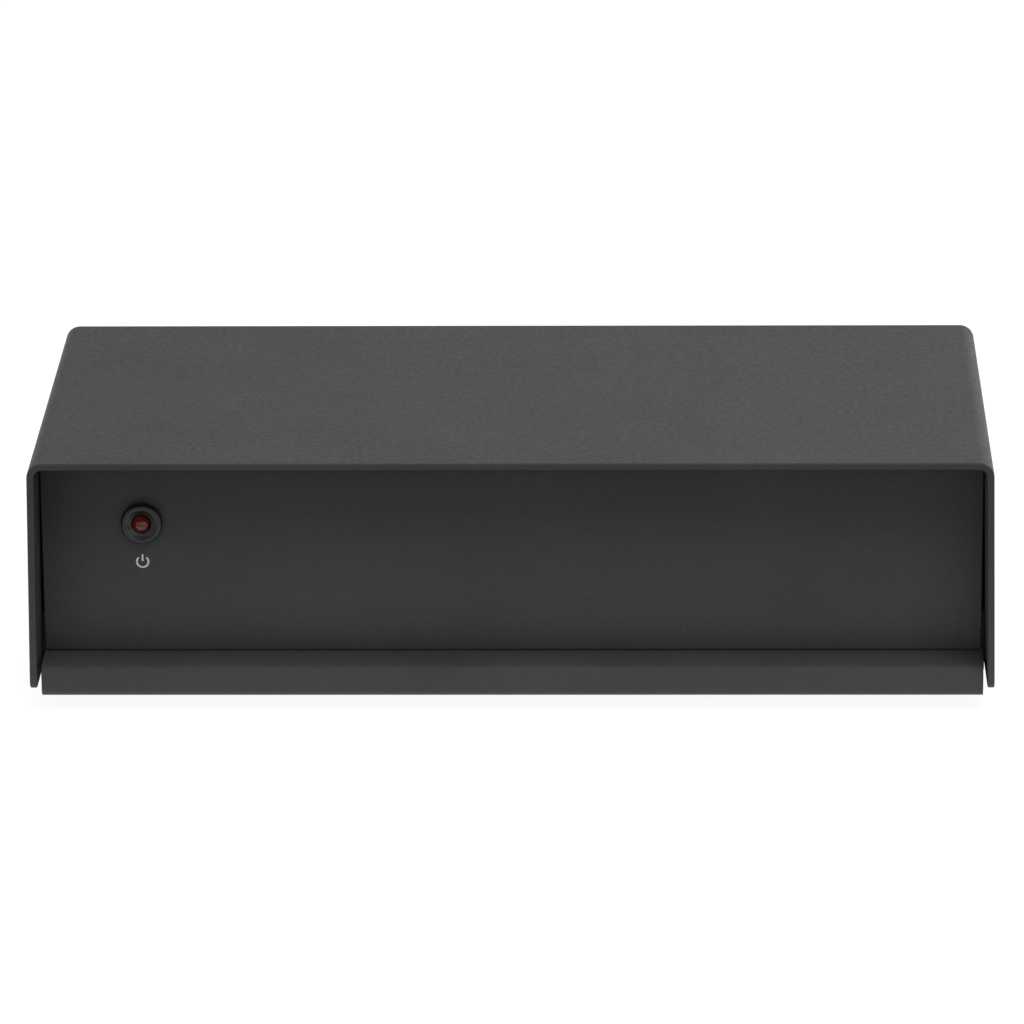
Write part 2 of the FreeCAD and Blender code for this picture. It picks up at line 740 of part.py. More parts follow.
def make_board_fasteners():
    """Hex standoffs pressed into the floor, flush below it, and the screws into their tops."""
    standoff = Piece("board_standoff")
    profile = standoff.sketch("XY_Plane")
    hexagon(profile, sizes.standoff_flats)
    circle(profile, 0, 0, sizes.screw_radius + sizes.thread_gap)
    standoff.pad(profile, board_under)
    group("board_standoffs", standoff, [(x, y, 0) for x, y in board_holes])
    bite = sizes.standoff_height / 2 - 0.2
    upper = make_screw("board_screw", 2.75, 1.8, sizes.board_sheet + bite)
    group("board_screws", upper, [(x, y, board_top) for x, y in board_holes])


def make_socket_block(name, block_x):
    """A pair of phono sockets: housing, and for each a shell, coloured insert and contact."""
    spacing = sizes.socket_spacing
    half = sizes.housing_width / 2
    housing = Piece(f"{name}_socket_housing", block_x, rear_inside, socket_rise)
    plan = housing.sketch("XY_Plane", -sizes.socket_rise)
    rectangle(plan, -half, -sizes.housing_depth, half, 0)
    housing.pad(plan, sizes.socket_rise + sizes.housing_crown)
    housing.soften("Fillet", 1, lambda edge: runs_along(edge, UP)
                   and level_with(edge, DEPTH, -sizes.housing_depth))
    seats = housing.sketch("XZ_Plane")
    for sign in (-1, 1):
        circle(seats, sign * spacing / 2, 0, sizes.shell_radius - sizes.shell_sheet)
    housing.pocket(seats, sizes.socket_seat, back=True)
    tails = housing.sketch("XZ_Plane")
    for sign in (-1, 1):
        slot(tails, sign * spacing / 2, 0, tail_width, tail_sheet)
    circle(tails, 0, -sizes.socket_screw_drop, sizes.screw_radius + sizes.thread_gap)
    housing.pocket(tails, sizes.housing_depth + 1, back=True)
    keep(housing)
    for side, sign in (("left", -1), ("right", 1)):
        make_socket(f"{name}_{side}", block_x + sign * spacing / 2)
    screw = make_screw(f"{name}_socket_screw", 2.4, 1.6, 7, recess=0.9)
    screw_rise = socket_rise - sizes.socket_screw_drop
    put(screw.body, block_x, rear_face, screw_rise, (Vector(-1, 0, 0), 90))
    keep(screw)


def make_socket(name, x):
    """One phono socket: a shell on the housing's face, with its insert and centre contact."""
    reach = sizes.chassis_sheet + sizes.socket_reach
    seat = -sizes.socket_seat
    inside = sizes.shell_radius - sizes.shell_sheet
    shell = Piece(f"{name}_shell", x, rear_inside, socket_rise)
    profile = shell.sketch("XY_Plane")
    outline(profile, [
        (inside, 0),
        (sizes.shell_radius, 0),
        (sizes.shell_radius, reach),
        (inside, reach),
    ])
    shell.revolve(profile)
    keep(shell)

    contact_outside = sizes.contact_bore + sizes.contact_sheet
    mouth = reach - 1.6
    lead_in = 0.35
    insert = Piece(f"{name}_insert", x, rear_inside, socket_rise)
    profile = insert.sketch("XY_Plane")
    outline(profile, [
        (contact_outside + sizes.thread_gap, seat),
        (inside - sizes.thread_gap, seat),
        (inside - sizes.thread_gap, reach - 0.5),
        (sizes.contact_bore + lead_in, reach - 0.5),
        (sizes.contact_bore + lead_in, mouth),
        (contact_outside + sizes.thread_gap, mouth),
    ])
    insert.revolve(profile)
    keep(insert)

    contact = Piece(f"{name}_contact", x, rear_inside, socket_rise)
    profile = contact.sketch("XY_Plane")
    base = seat + 1
    outline(profile, [
        (0, base),
        (contact_outside, base),
        (contact_outside, mouth),
        (sizes.contact_bore, mouth),
        (sizes.contact_bore, base + 1),
        (0, base + 1),
    ])
    contact.revolve(profile)
    tail = contact.sketch("YZ_Plane")
    back = -sizes.housing_depth - tail_back
    thick = tail_sheet / 2
    low = -sizes.socket_rise - sizes.board_sheet - 1
    outline(tail, [
        (base, -thick),
        (base, thick),
        (back - thick, thick),
        (back - thick, low),
        (back + thick, low),
        (back + thick, -thick),
    ])
    contact.pad(tail, tail_width, both=True)
    keep(contact)


def make_supply_socket():
    """The supply socket: moulded housing with a round nose, centre pin and three solder tabs."""
    pin_base = sizes.supply_pin + 0.25
    housing = Piece("dc_socket_housing", sizes.supply_x, rear_inside, supply_rise)
    plan = housing.sketch("XY_Plane", -sizes.supply_rise)
    rectangle(plan, -4.5, -supply_depth, 4.5, 0)
    housing.pad(plan, sizes.supply_rise + 4.4)
    housing.soften("Chamfer", 0.8, lambda edge: runs_along(edge, DEPTH)
                   and level_with(edge, UP, 4.4))
    nose = housing.sketch("XZ_Plane")
    circle(nose, 0, 0, supply_nose)
    housing.pad(nose, sizes.chassis_sheet + 0.3, back=True)
    barrel = housing.sketch("XZ_Plane", -(sizes.chassis_sheet + 0.3))
    circle(barrel, 0, 0, sizes.supply_bore)
    housing.pocket(barrel, sizes.supply_deep, back=True)
    pin_hole = housing.sketch("XZ_Plane")
    circle(pin_hole, 0, 0, pin_base + sizes.thread_gap)
    housing.pocket(pin_hole, supply_depth + 1, back=True)
    keep(housing)

    pin = Piece("dc_socket_pin", sizes.supply_x, rear_inside, supply_rise)
    profile = pin.sketch("XY_Plane")
    tip = sizes.chassis_sheet - 0.5
    barrel_end = sizes.chassis_sheet + 0.3 - sizes.supply_deep
    outline(profile, [
        (0, -supply_depth),
        (pin_base, -supply_depth),
        (pin_base, barrel_end),
        (sizes.supply_pin, barrel_end),
        (sizes.supply_pin, tip - 0.4),
        (sizes.supply_pin - 0.3, tip),
        (0, tip),
    ])
    pin.revolve(profile)
    keep(pin)

    tabs = Piece("dc_socket_contacts", sizes.supply_x, rear_inside, supply_rise)
    low = -sizes.supply_rise - sizes.board_sheet - 1
    for x, y in supply_tabs:
        plan = tabs.sketch("XY_Plane", low)
        across = tab_width / 2
        along = tab_sheet / 2
        rectangle(plan, x - across, y - along, x + across, y + along)
        at_pin = y == supply_tabs[0][1]
        top = sizes.supply_pin if at_pin else -sizes.supply_rise
        tabs.pad(plan, top - low)
    keep(tabs)


def make_ground_post():
    """The ground post: stud, solder lug, star washer, lock nut, captive washer, thumb nut."""
    place = (sizes.ground_x, rear_inside, sizes.ground_rise)
    stud_hole = sizes.stud_radius + sizes.clear_gap
    star = 0.6
    lug_sheet = 0.8
    head_seat = -star - lug_sheet
    outside = sizes.chassis_sheet

    stud = Piece("ground_stud", *place)
    profile = stud.sketch("XY_Plane")
    end = outside + sizes.stud_reach
    outline(profile, [
        (0, head_seat - 2.4),
        (sizes.stud_radius + 0.8, head_seat - 2.4),
        (sizes.stud_radius + 1.6, head_seat - 1.6),
        (sizes.stud_radius + 1.6, head_seat),
        (sizes.stud_radius, head_seat),
        (sizes.stud_radius, end - 0.5),
        (sizes.stud_radius - 0.5, end),
        (0, end),
    ])
    stud.revolve(profile)
    keep(stud)

    washer = Piece("ground_star_washer", *place)
    teeth = washer.sketch("XZ_Plane")
    circle(teeth, 0, 0, sizes.stud_radius + 2.2)
    circle(teeth, 0, 0, stud_hole)
    washer.pad(teeth, star)
    gap = washer.sketch("XZ_Plane")
    reach = sizes.stud_radius + 2.4
    outline(gap, [(reach, -0.5), (reach, 0.5), (stud_hole + 1, 0.2), (stud_hole + 1, -0.2)])
    notch = washer.pocket(gap, star + 1, back=True)
    washer.repeat_round(notch, "Y_Axis", 8)
    keep(washer)

    lug = Piece("ground_lug", *place)
    ring = lug.sketch("XZ_Plane", star)
    circle(ring, 0, 0, sizes.stud_radius + 1.8)
    circle(ring, 0, 0, stud_hole)
    lug.pad(ring, lug_sheet)
    tab = lug.sketch("XZ_Plane", star)
    outline(tab, [
        (-stud_hole - 0.6, -1.6), (-lug_reach, -1.6, 0.8),
        (-lug_reach, 1.6, 0.8), (-stud_hole - 0.6, 1.6),
    ])
    lug.pad(tab, lug_sheet)
    keep(lug)

    lock_nut = Piece("ground_lock_nut", *place)
    flat = lock_nut.sketch("XZ_Plane", -outside)
    hexagon(flat, 7)
    circle(flat, 0, 0, sizes.stud_radius + sizes.thread_gap)
    lock_nut.pad(flat, sizes.lock_nut_height, back=True)
    keep(lock_nut)

    make_thumb_nut(place, outside + sizes.lock_nut_height + sizes.wire_gap)

    wire = Piece("ground_wire", sizes.ground_x - lug_reach + 1.8, rear_inside, sizes.ground_rise)
    path = wire.sketch("YZ_Plane")
    bend_path(path, head_seat, head_seat - 5.5, board_top - sizes.ground_rise, 3.5)
    section = wire.sketch("XZ_Plane", -head_seat)
    hexagon(section, 1.3)
    wire.pipe(section, path)
    keep(wire)


def make_thumb_nut(place, start):
    """The captive washer and the knurled thumb nut that turns in it, on the stud."""
    spigot = sizes.stud_radius + 1.05
    lip = spigot + 0.4
    recess = 0.5
    play = sizes.thread_gap
    washer_back = start + sizes.washer_sheet
    washer = Piece("ground_washer", *place)
    profile = washer.sketch("XY_Plane")
    outline(profile, [
        (lip + play, start),
        (sizes.washer_radius, start),
        (sizes.washer_radius, washer_back),
        (spigot + play, washer_back),
        (spigot + play, start + recess),
        (lip + play, start + recess),
    ])
    washer.revolve(profile)
    keep(washer)

    nut = Piece("ground_thumb_nut", *place)
    profile = nut.sketch("XY_Plane")
    bore = sizes.stud_radius + sizes.thread_gap
    head = washer_back + play
    end = head + sizes.thumb_length
    outline(profile, [
        (bore, start + play),
        (lip, start + play),
        (lip, start + recess - play),
        (spigot, start + recess - play),
        (spigot, head),
        (sizes.thumb_radius, head),
        (sizes.thumb_radius, end),
        (bore, end),
    ])
    nut.revolve(profile)
    groove = nut.sketch("XZ_Plane", -head)
    deep = sizes.thumb_radius - 0.45
    wide = sizes.thumb_radius * math.pi / sizes.knurl_count * 0.8
    outline(groove, [
        (deep, 0),
        (sizes.thumb_radius + 0.2, wide),
        (sizes.thumb_radius + 0.2, -wide),
    ])
    cut = nut.pocket(groove, sizes.thumb_length)
    nut.repeat_round(cut, "Y_Axis", sizes.knurl_count)
    keep(nut)


def make_can(label, radius, height, places):
    """Electrolytic capacitors: a sleeved can with a broken rim."""
    can = Piece(label.rstrip("s"))
    profile = can.sketch("XZ_Plane")
    height = tied(height)
    outline(profile, [
        (0, 0),
        (radius, 0),
        (radius, height - 0.4),
        (radius - 0.4, height),
        (0, height),
    ])
    can.revolve(profile)
    group(label, can, [(x, board_front + y, board_top) for x, y in places])


def make_block(label, width, depth, height, edge, places):
    """Box-shaped parts on the board, with chamfered upright edges."""
    block = Piece(label.rstrip("s"))
    plan = block.sketch("XY_Plane")
    rectangle(plan, -width / 2, -depth / 2, width / 2, depth / 2)
    block.pad(plan, height)
    block.soften("Chamfer", edge, lambda line: runs_along(line, UP))
    group(label, block, [(x, board_front + y, board_top) for x, y in places])


def make_amplifier(label, x, y):
    """An eight-pin amplifier chip standing on its legs, with a notch at its pin-one end."""
    chip = Piece(label, x, board_front + y, board_top)
    step = 2.54
    body = chip.sketch("XY_Plane", 0.6)
    rectangle(body, -3.2, -4.9, 3.2, 4.9)
    chip.pad(body, 3.3)
    notch = chip.sketch("XY_Plane", 3.9)
    rectangle(notch, -0.8, -5, 0.8, -4.1)
    chip.pocket(notch, 0.6)
    leg = chip.sketch("XZ_Plane", 1.5 * step + 0.25)
    outline(leg, [(3.1, 2.2), (4.0, 2.2), (4.0, 0), (3.7, 0), (3.7, 1.9), (3.1, 1.9)])
    right = chip.pad(leg, 0.5, back=True)
    leg = chip.sketch("XZ_Plane", 1.5 * step + 0.25)
    outline(leg, [(-3.1, 2.2), (-4.0, 2.2), (-4.0, 0), (-3.7, 0), (-3.7, 1.9), (-3.1, 1.9)])
    left = chip.pad(leg, 0.5, back=True)
    for side in (right, left):
        chip.repeat_along(side, "Y_Axis", step, 4)
    keep(chip)


def make_regulator():
    """The voltage regulator, upright on its three legs, with its cooling tab behind."""
    part = Piece("voltage_regulator", -58, board_front + 30, board_top)
    case = part.sketch("XY_Plane", 4)
    rectangle(case, -5, -2.2, 5, 2.2)
    part.pad(case, 9.2)
    tab = part.sketch("XY_Plane", 4)
    rectangle(tab, -5, 0.9, 5, 2.2)
    part.pad(tab, 15.6)
    hole = part.sketch("XZ_Plane")
    circle(hole, 0, 16.8, 1.85)
    part.pocket(hole)
    legs = part.sketch("XY_Plane")
    for x in (-2.54, 0, 2.54):
        rectangle(legs, x - 0.4, -0.3, x + 0.4, 0.3)
    part.pad(legs, 4)
    keep(part)


def make_diode():
    """The diode that protects against a reversed supply: a body and two bent-down leads."""
    diode = Piece("protection_diode", -33, board_front + 46, board_top + 2)
    profile = diode.sketch("XY_Plane")
    outline(profile, [(0, -2.6), (1.35, -2.6), (1.35, 2.6), (0, 2.6)])
    diode.revolve(profile)
    lead = diode.sketch("YZ_Plane")
    outline(lead, [
        (-2.6, 0.3), (-5, 0.3), (-5, -2), (-4.4, -2), (-4.4, -0.3),
        (4.4, -0.3), (4.4, -2), (5, -2), (5, 0.3), (2.6, 0.3),
    ])
    diode.pad(lead, 0.6, both=True)
    keep(diode)


def make_electronics():
    """What stands on the circuit board."""
    make_amplifier("opamp_left", 8, 30)
    make_amplifier("opamp_right", 38, 30)
    make_can("filter_capacitors", 5, 16, [(-40, 30), (-27, 30)])
    make_can("coupling_capacitors", 3.15, 11, [(-12, 36), (-4, 36), (24, 36), (54, 36)])
    films = [(x, y) for x in (8, 38) for y in (14, 18.5, 40)]
    make_block("film_capacitors", 7.2, 3, 7.5, 0.3, films)
    chips = [(x + step, y) for x in (-2, 28) for step in (0, 20) for y in (14, 18, 22, 26, 30)]
    make_block("resistors", 3.2, 1.6, 0.6, 0.1, chips)
    make_regulator()
    make_diode()


# Sizes of standard parts that several pieces share
tail_width = tied(1.2)
tail_sheet = tied(0.5)
tail_back = tied(0.6)
tab_width = tied(2.2)
tab_sheet = tied(0.5)
supply_depth = tied(13.5)
supply_nose = tied(3.8)
supply_tabs = [(tied(0), -supply_depth - 0.25), (tied(0), -supply_depth + 6), (tied(3), tied(-10.5))]
lug_reach = tied(9)

make_cover()
make_chassis()
make_case_screws()
make_feet()
make_lamp()
make_board()
make_board_fasteners()
make_socket_block("input", sizes.input_x)
make_socket_block("output", sizes.output_x)
make_supply_socket()
make_ground_post()
make_electronics()

# Nothing is written unless every object and every piece came out sound
doc.recompute()
for thing in doc.Objects:
    if "Invalid" in thing.State or "Error" in thing.State:
        raise ValueError(f"{thing.Label} failed")
for node in nodes:
    if node.Shape.isNull() or not node.Shape.isValid():
        raise ValueError(f"{node.Label} has no valid shape")
os.makedirs("parts", exist_ok=True)
for node in nodes:
    node.Shape.exportStep(f"parts/{node.Label}.step")
    print(node.Label, len(node.Shape.Solids), round(node.Shape.Volume, 2))
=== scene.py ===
"""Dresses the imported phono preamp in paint, metals and plastics, and adds its finer shapes."""

from __future__ import annotations

import json
import logging
import math
from dataclasses import dataclass, field
from enum import Enum
from typing import Any, Protocol, Sequence

import bmesh
import bpy
from mathutils import Matrix, Vector

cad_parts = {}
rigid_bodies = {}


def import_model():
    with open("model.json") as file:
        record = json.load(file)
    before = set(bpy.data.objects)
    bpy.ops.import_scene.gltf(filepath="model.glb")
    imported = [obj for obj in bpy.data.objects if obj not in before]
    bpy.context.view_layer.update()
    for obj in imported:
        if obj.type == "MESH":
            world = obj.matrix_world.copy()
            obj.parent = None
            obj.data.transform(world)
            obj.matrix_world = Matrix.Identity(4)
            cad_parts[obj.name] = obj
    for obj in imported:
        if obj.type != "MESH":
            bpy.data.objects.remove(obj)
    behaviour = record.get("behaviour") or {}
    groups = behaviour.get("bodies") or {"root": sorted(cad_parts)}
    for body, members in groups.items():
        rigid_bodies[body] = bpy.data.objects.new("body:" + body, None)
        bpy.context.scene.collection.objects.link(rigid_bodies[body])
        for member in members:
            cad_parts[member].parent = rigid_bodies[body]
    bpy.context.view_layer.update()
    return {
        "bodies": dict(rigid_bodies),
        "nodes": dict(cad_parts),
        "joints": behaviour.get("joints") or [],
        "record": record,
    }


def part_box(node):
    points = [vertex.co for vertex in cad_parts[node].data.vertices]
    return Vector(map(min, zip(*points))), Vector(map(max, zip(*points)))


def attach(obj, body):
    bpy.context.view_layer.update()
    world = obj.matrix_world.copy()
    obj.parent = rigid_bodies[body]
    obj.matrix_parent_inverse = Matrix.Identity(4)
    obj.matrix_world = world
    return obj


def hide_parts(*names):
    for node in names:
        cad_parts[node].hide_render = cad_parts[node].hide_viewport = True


MM = 0.001
WHITE_LIGHT = (1.0, 1.0, 1.0, 1.0)
CREASE = 28.0
LOG = logging.getLogger("preamp")

Colour = tuple[float, float, float]
Point = tuple[float, float, float]
Profile = list[tuple[float, float]]


class Slot(Enum):
    """The record's material slots."""

    PAINT = "case_paint"
    BLACK_STEEL = "black_steel"
    RUBBER = "rubber"
    BLACK_PLASTIC = "black_plastic"
    RED_LENS = "red_lens"
    TINNED = "tinned_wire"
    BOARD = "board_resin"
    ZINC = "zinc_steel"
    NICKEL = "nickel"
    GREEN_WIRE = "green_wire"
    CHIP = "chip_epoxy"
    CAN = "can_sleeve"
    FILM = "film_resin"
    WHITE = "white_insert"
    RED = "red_insert"


class Body(Enum):
    """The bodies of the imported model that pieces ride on."""

    CASE = "case"
    WASHER = "captive_washer"
    NUT = "thumb_nut"


def metres(point: Sequence[float]) -> Vector:
    """Turns a place in millimetres into one in metres."""
    return Vector(point) * MM


class Graph:
    """A node tree that is being wired, for a material or for geometry."""

    def __init__(self, tree: bpy.types.NodeTree) -> None:
        """Starts on an empty tree.

        Args:
            tree: the tree to clear and fill.
        """
        self.tree = tree
        tree.nodes.clear()

    def node(self, kind: str, inputs: dict[Any, Any] | None = None, **settings: Any) -> bpy.types.Node:
        """Adds a node.

        Args:
            kind: the node's Blender type.
            inputs: a value or a socket for each named or numbered input.
            settings: properties of the node itself.

        Returns:
            The new node.
        """
        made = self.tree.nodes.new(kind)
        for name, value in settings.items():
            setattr(made, name, value)
        for key, value in (inputs or {}).items():
            if isinstance(value, bpy.types.NodeSocket):
                self.tree.links.new(value, made.inputs[key])
            else:
                made.inputs[key].default_value = value
        return made

    def math(self, operation: str, first: Any, second: Any = 0.0) -> bpy.types.NodeSocket:
        """Adds a calculation on two values or sockets and returns its output."""
        return self.node("ShaderNodeMath", {0: first, 1: second}, operation=operation).outputs[0]

    def ramp(self, value: Any, low: float, high: float, start: float, end: float) -> bpy.types.NodeSocket:
        """Maps a value between low and high onto start to end, held at both ends.

        Args:
            value: the socket to map.
            low: the value that gives start.
            high: the value that gives end.
            start: the result at low.
            end: the result at high.

        Returns:
            The mapped value's socket.
        """
        places = {"Value": value, "From Min": low, "From Max": high, "To Min": start, "To Max": end}
        return self.node("ShaderNodeMapRange", places).outputs[0]

    def mix(self, share: Any, first: Any, second: Any) -> bpy.types.NodeSocket:
        """Mixes two colours.

        Args:
            share: how much of the second colour shows.
            first: the colour at 0, a socket or three numbers.
            second: the colour at 1, a socket or three numbers.

        Returns:
            The mixed colour's socket.
        """
        made = self.node("ShaderNodeMix", {0: share}, data_type="RGBA")
        for index, colour in ((6, first), (7, second)):
            if isinstance(colour, bpy.types.NodeSocket):
                self.tree.links.new(colour, made.inputs[index])
            else:
                made.inputs[index].default_value = (*colour, 1.0)
        return made.outputs[2]


class Surface(Graph):
    """The node tree of one finish, on the object's own coordinates."""

    def __init__(self, name: str) -> None:
        """Makes the material and its shader.

        Args:
            name: the material's name.
        """
        self.material = bpy.data.materials.new(name)
        self.material.use_nodes = True
        super().__init__(self.material.node_tree)
        self.shader = self.node("ShaderNodeBsdfPrincipled")
        self.node("ShaderNodeOutputMaterial", {"Surface": self.shader.outputs[0]})
        self.place = self.node("ShaderNodeTexCoord").outputs["Object"]

    def noise(self, grain: float, detail: float) -> bpy.types.NodeSocket:
        """Adds a noise whose features are a given size.

        Args:
            grain: the size of one feature, in millimetres.
            detail: how many finer octaves it has.

        Returns:
            The noise's value, about 0 to 1.
        """
        inputs = {"Vector": self.place, "Scale": 1.0 / (grain * MM), "Detail": detail}
        return self.node("ShaderNodeTexNoise", inputs).outputs[0]

    def flecks(self, grain: float, size: float, share: float) -> bpy.types.NodeSocket:
        """Adds scattered round specks.

        Args:
            grain: the spacing of the cells that may hold a speck, in millimetres.
            size: a speck's radius, in cells.
            share: how many of the cells hold one, 0 to 1.

        Returns:
            1 on a speck and 0 elsewhere.
        """
        cells = self.node("ShaderNodeTexVoronoi", {"Vector": self.place, "Scale": 1.0 / (grain * MM)})
        pick = self.node("ShaderNodeSeparateColor", {0: cells.outputs["Color"]}).outputs[0]
        near = self.ramp(cells.outputs["Distance"], size * 0.6, size, 1.0, 0.0)
        return self.math("MULTIPLY", near, self.math("LESS_THAN", pick, share))

    def rough(self, low: float, high: float, value: bpy.types.NodeSocket) -> None:
        """Lets the roughness run from low to high with a value."""
        self.tree.links.new(self.ramp(value, 0.3, 0.7, low, high), self.shader.inputs["Roughness"])

    def tint(self, colour: bpy.types.NodeSocket) -> None:
        """Links a colour to the shader."""
        self.tree.links.new(colour, self.shader.inputs["Base Color"])

    def relief(self, *layers: tuple[bpy.types.NodeSocket, float]) -> None:
        """Gives the surface bumps.

        Args:
            layers: a height from 0 to 1 and its depth in millimetres, for each layer.
        """
        normal = None
        for height, depth in layers:
            inputs: dict[Any, Any] = {"Height": height, "Distance": depth * MM}
            if normal is not None:
                inputs["Normal"] = normal
            normal = self.node("ShaderNodeBump", inputs).outputs[0]
        self.tree.links.new(normal, self.shader.inputs["Normal"])

    def set(self, **values: Any) -> None:
        """Sets the shader's own sockets, with spaces for underscores in their names."""
        for name, value in values.items():
            self.shader.inputs[name.replace("_", " ")].default_value = value


class Grower(Graph):
    """A Geometry Nodes tree whose result is kept as a plain mesh."""

    def __init__(self, name: str, sizes: dict[str, int | float]) -> None:
        """Starts the tree with named inputs.

        Args:
            name: the tree's name.
            sizes: the value of each input; a whole number makes a whole-number input.
        """
        tree = bpy.data.node_groups.new(name, "GeometryNodeTree")
        super().__init__(tree)
        self.sizes = sizes
        face = tree.interface
        face.new_socket("Geometry", in_out="INPUT", socket_type="NodeSocketGeometry")
        kinds = {int: "NodeSocketInt", float: "NodeSocketFloat"}
        self.keys = {
            size: face.new_socket(size, in_out="INPUT", socket_type=kinds[type(value)]).identifier
            for size, value in sizes.items()
        }
        face.new_socket("Geometry", in_out="OUTPUT", socket_type="NodeSocketGeometry")
        self.given = self.node("NodeGroupInput").outputs

    def joined(self, *shapes: bpy.types.NodeSocket) -> bpy.types.NodeSocket:
        """Joins geometries into one."""
        join = self.node("GeometryNodeJoinGeometry")
        for shape in shapes:
            self.tree.links.new(shape, join.inputs[0])
        return join.outputs[0]

    def grow(
        self, base: bpy.types.Mesh, result: bpy.types.NodeSocket, material: bpy.types.Material
    ) -> bpy.types.Mesh:
        """Runs the tree on a mesh.

        Args:
            base: the mesh that the tree starts from.
            result: the geometry to keep.
            material: what it is made of.

        Returns:
            The result as a plain mesh.
        """
        solid = self.node("GeometryNodeRealizeInstances", {0: result})
        coated = self.node("GeometryNodeSetMaterial", {"Geometry": solid.outputs[0], "Material": material})
        self.node("NodeGroupOutput", {0: coated.outputs[0]})
        carrier = bpy.data.objects.new("carrier", base)
        bpy.context.scene.collection.objects.link(carrier)
        modifier = carrier.modifiers.new("grown", "NODES")
        modifier.node_group = self.tree
        for size, value in self.sizes.items():
            modifier[self.keys[size]] = value
        graph = bpy.context.evaluated_depsgraph_get()
        grown = bpy.data.meshes.new_from_object(carrier.evaluated_get(graph))
        carrier.modifiers.remove(modifier)
        bpy.data.objects.remove(carrier)
        return grown


def lathe(profile: Profile, steps: int = 72) -> bpy.types.Mesh:
    """Turns a profile round the Z axis.

    Args:
        profile: radius and height of each point, in millimetres; it is closed unless it ends on the axis.
        steps: how many flats the round has.

    Returns:
        The turned mesh.
    """
    shape = bmesh.new()
    rings = []
    for radius, height in profile:
        count = steps if radius > 0 else 1
        turns = (math.tau * step / count for step in range(count))
        points = ((radius * math.cos(turn), radius * math.sin(turn), height) for turn in turns)
        rings.append([shape.verts.new(metres(point)) for point in points])
    pairs = list(zip(rings, rings[1:]))
    if len(rings[0]) > 1 and len(rings[-1]) > 1:
        pairs.append((rings[-1], rings[0]))
    for near, far in pairs:
        for step in range(steps):
            after = (step + 1) % steps
            lower = [near[step % len(near)], near[after % len(near)]]
            upper = [far[after % len(far)], far[step % len(far)]]
            shape.faces.new(list(dict.fromkeys(lower + upper)))
    bmesh.ops.recalc_face_normals(shape, faces=shape.faces)
    mesh = bpy.data.meshes.new("turned")
    shape.to_mesh(mesh)
    shape.free()
    return mesh


def arc(centre: tuple[float, float], radius: float, start: float, end: float, steps: int) -> Profile:
    """Gives the points of an arc.

    Args:
        centre: its middle.
        radius: its radius.
        start: the first point's angle, in degrees.
        end: the last point's angle, in degrees.
        steps: how many runs it has.

    Returns:
        Its points, both ends included.
    """
    turns = (math.radians(start + (end - start) * step / steps) for step in range(steps + 1))
    return [(centre[0] + radius * math.cos(turn), centre[1] + radius * math.sin(turn)) for turn in turns]


def stand(mesh: bpy.types.Mesh, middle: Vector, facing: Point) -> bpy.types.Mesh:
    """Moves a mesh from the origin to its place.

    Args:
        mesh: a mesh made along Z.
        middle: where its origin goes, in metres.
        facing: where its Z axis points.

    Returns:
        The same mesh.
    """
    turn = Vector(facing).to_track_quat("Z", "X").to_matrix().to_4x4()
    mesh.transform(Matrix.Translation(middle) @ turn)
    return mesh


class Finish(Protocol):
    """What every finish can do."""

    def material(self, name: str) -> bpy.types.Material:
        """Builds the finish as a material of that name."""


@dataclass(frozen=True)
class PowderCoat:
    """Satin powder coat over folded steel."""

    dark: Colour = (0.036, 0.040, 0.039)
    light: Colour = (0.048, 0.052, 0.050)
    fleck: Colour = (0.11, 0.115, 0.112)
    cloud: float = 24.0
    peel: float = 0.9
    grain: float = 0.22
    specular: float = 0.32

    def material(self, name: str) -> bpy.types.Material:
        """Builds the finish."""
        made = Surface(name)
        cloud = made.noise(self.cloud, 3.0)
        peel = made.noise(self.peel, 3.0)
        grain = made.noise(self.grain, 2.0)
        shade = made.math("ADD", made.math("MULTIPLY", cloud, 0.45), made.math("MULTIPLY", grain, 0.55))
        base = made.mix(made.ramp(shade, 0.35, 0.65, 0.0, 1.0), self.dark, self.light)
        flecks = made.flecks(0.9, 0.16, 0.10)
        made.tint(made.mix(made.math("MULTIPLY", flecks, 0.55), base, self.fleck))
        made.rough(0.46, 0.60, peel)
        made.set(Specular_IOR_Level=self.specular)
        made.relief((peel, 0.02), (grain, 0.012))
        return made.material


@dataclass(frozen=True)
class Moulding:
    """Moulded plastic, epoxy or rubber."""

    colour: Colour
    roughness: float = 0.4
    spread: float = 0.12
    grain: float = 0.25
    depth: float = 0.004

    def material(self, name: str) -> bpy.types.Material:
        """Builds the finish."""
        made = Surface(name)
        grain = made.noise(self.grain, 3.0)
        cloud = made.noise(self.grain * 24, 2.0)
        darker = tuple(part * 0.82 for part in self.colour)
        lighter = tuple(min(1.0, part * 1.15 + 0.002) for part in self.colour)
        made.tint(made.mix(cloud, darker, lighter))
        made.rough(self.roughness - self.spread / 2, self.roughness + self.spread / 2, cloud)
        made.relief((grain, self.depth))
        return made.material


@dataclass(frozen=True)
class Metal:
    """Plated or blackened metal with a fine grain."""

    colour: Colour
    roughness: float = 0.25
    spread: float = 0.12
    metallic: float = 1.0
    grain: float = 0.3

    def material(self, name: str) -> bpy.types.Material:
        """Builds the finish."""
        made = Surface(name)
        grain = made.noise(self.grain, 3.0)
        cloud = made.noise(self.grain * 12, 3.0)
        darker = tuple(part * 0.8 for part in self.colour)
        made.tint(made.mix(cloud, darker, self.colour))
        made.rough(self.roughness - self.spread / 2, self.roughness + self.spread / 2, cloud)
        made.relief((grain, 0.003))
        made.set(Metallic=self.metallic)
        return made.material


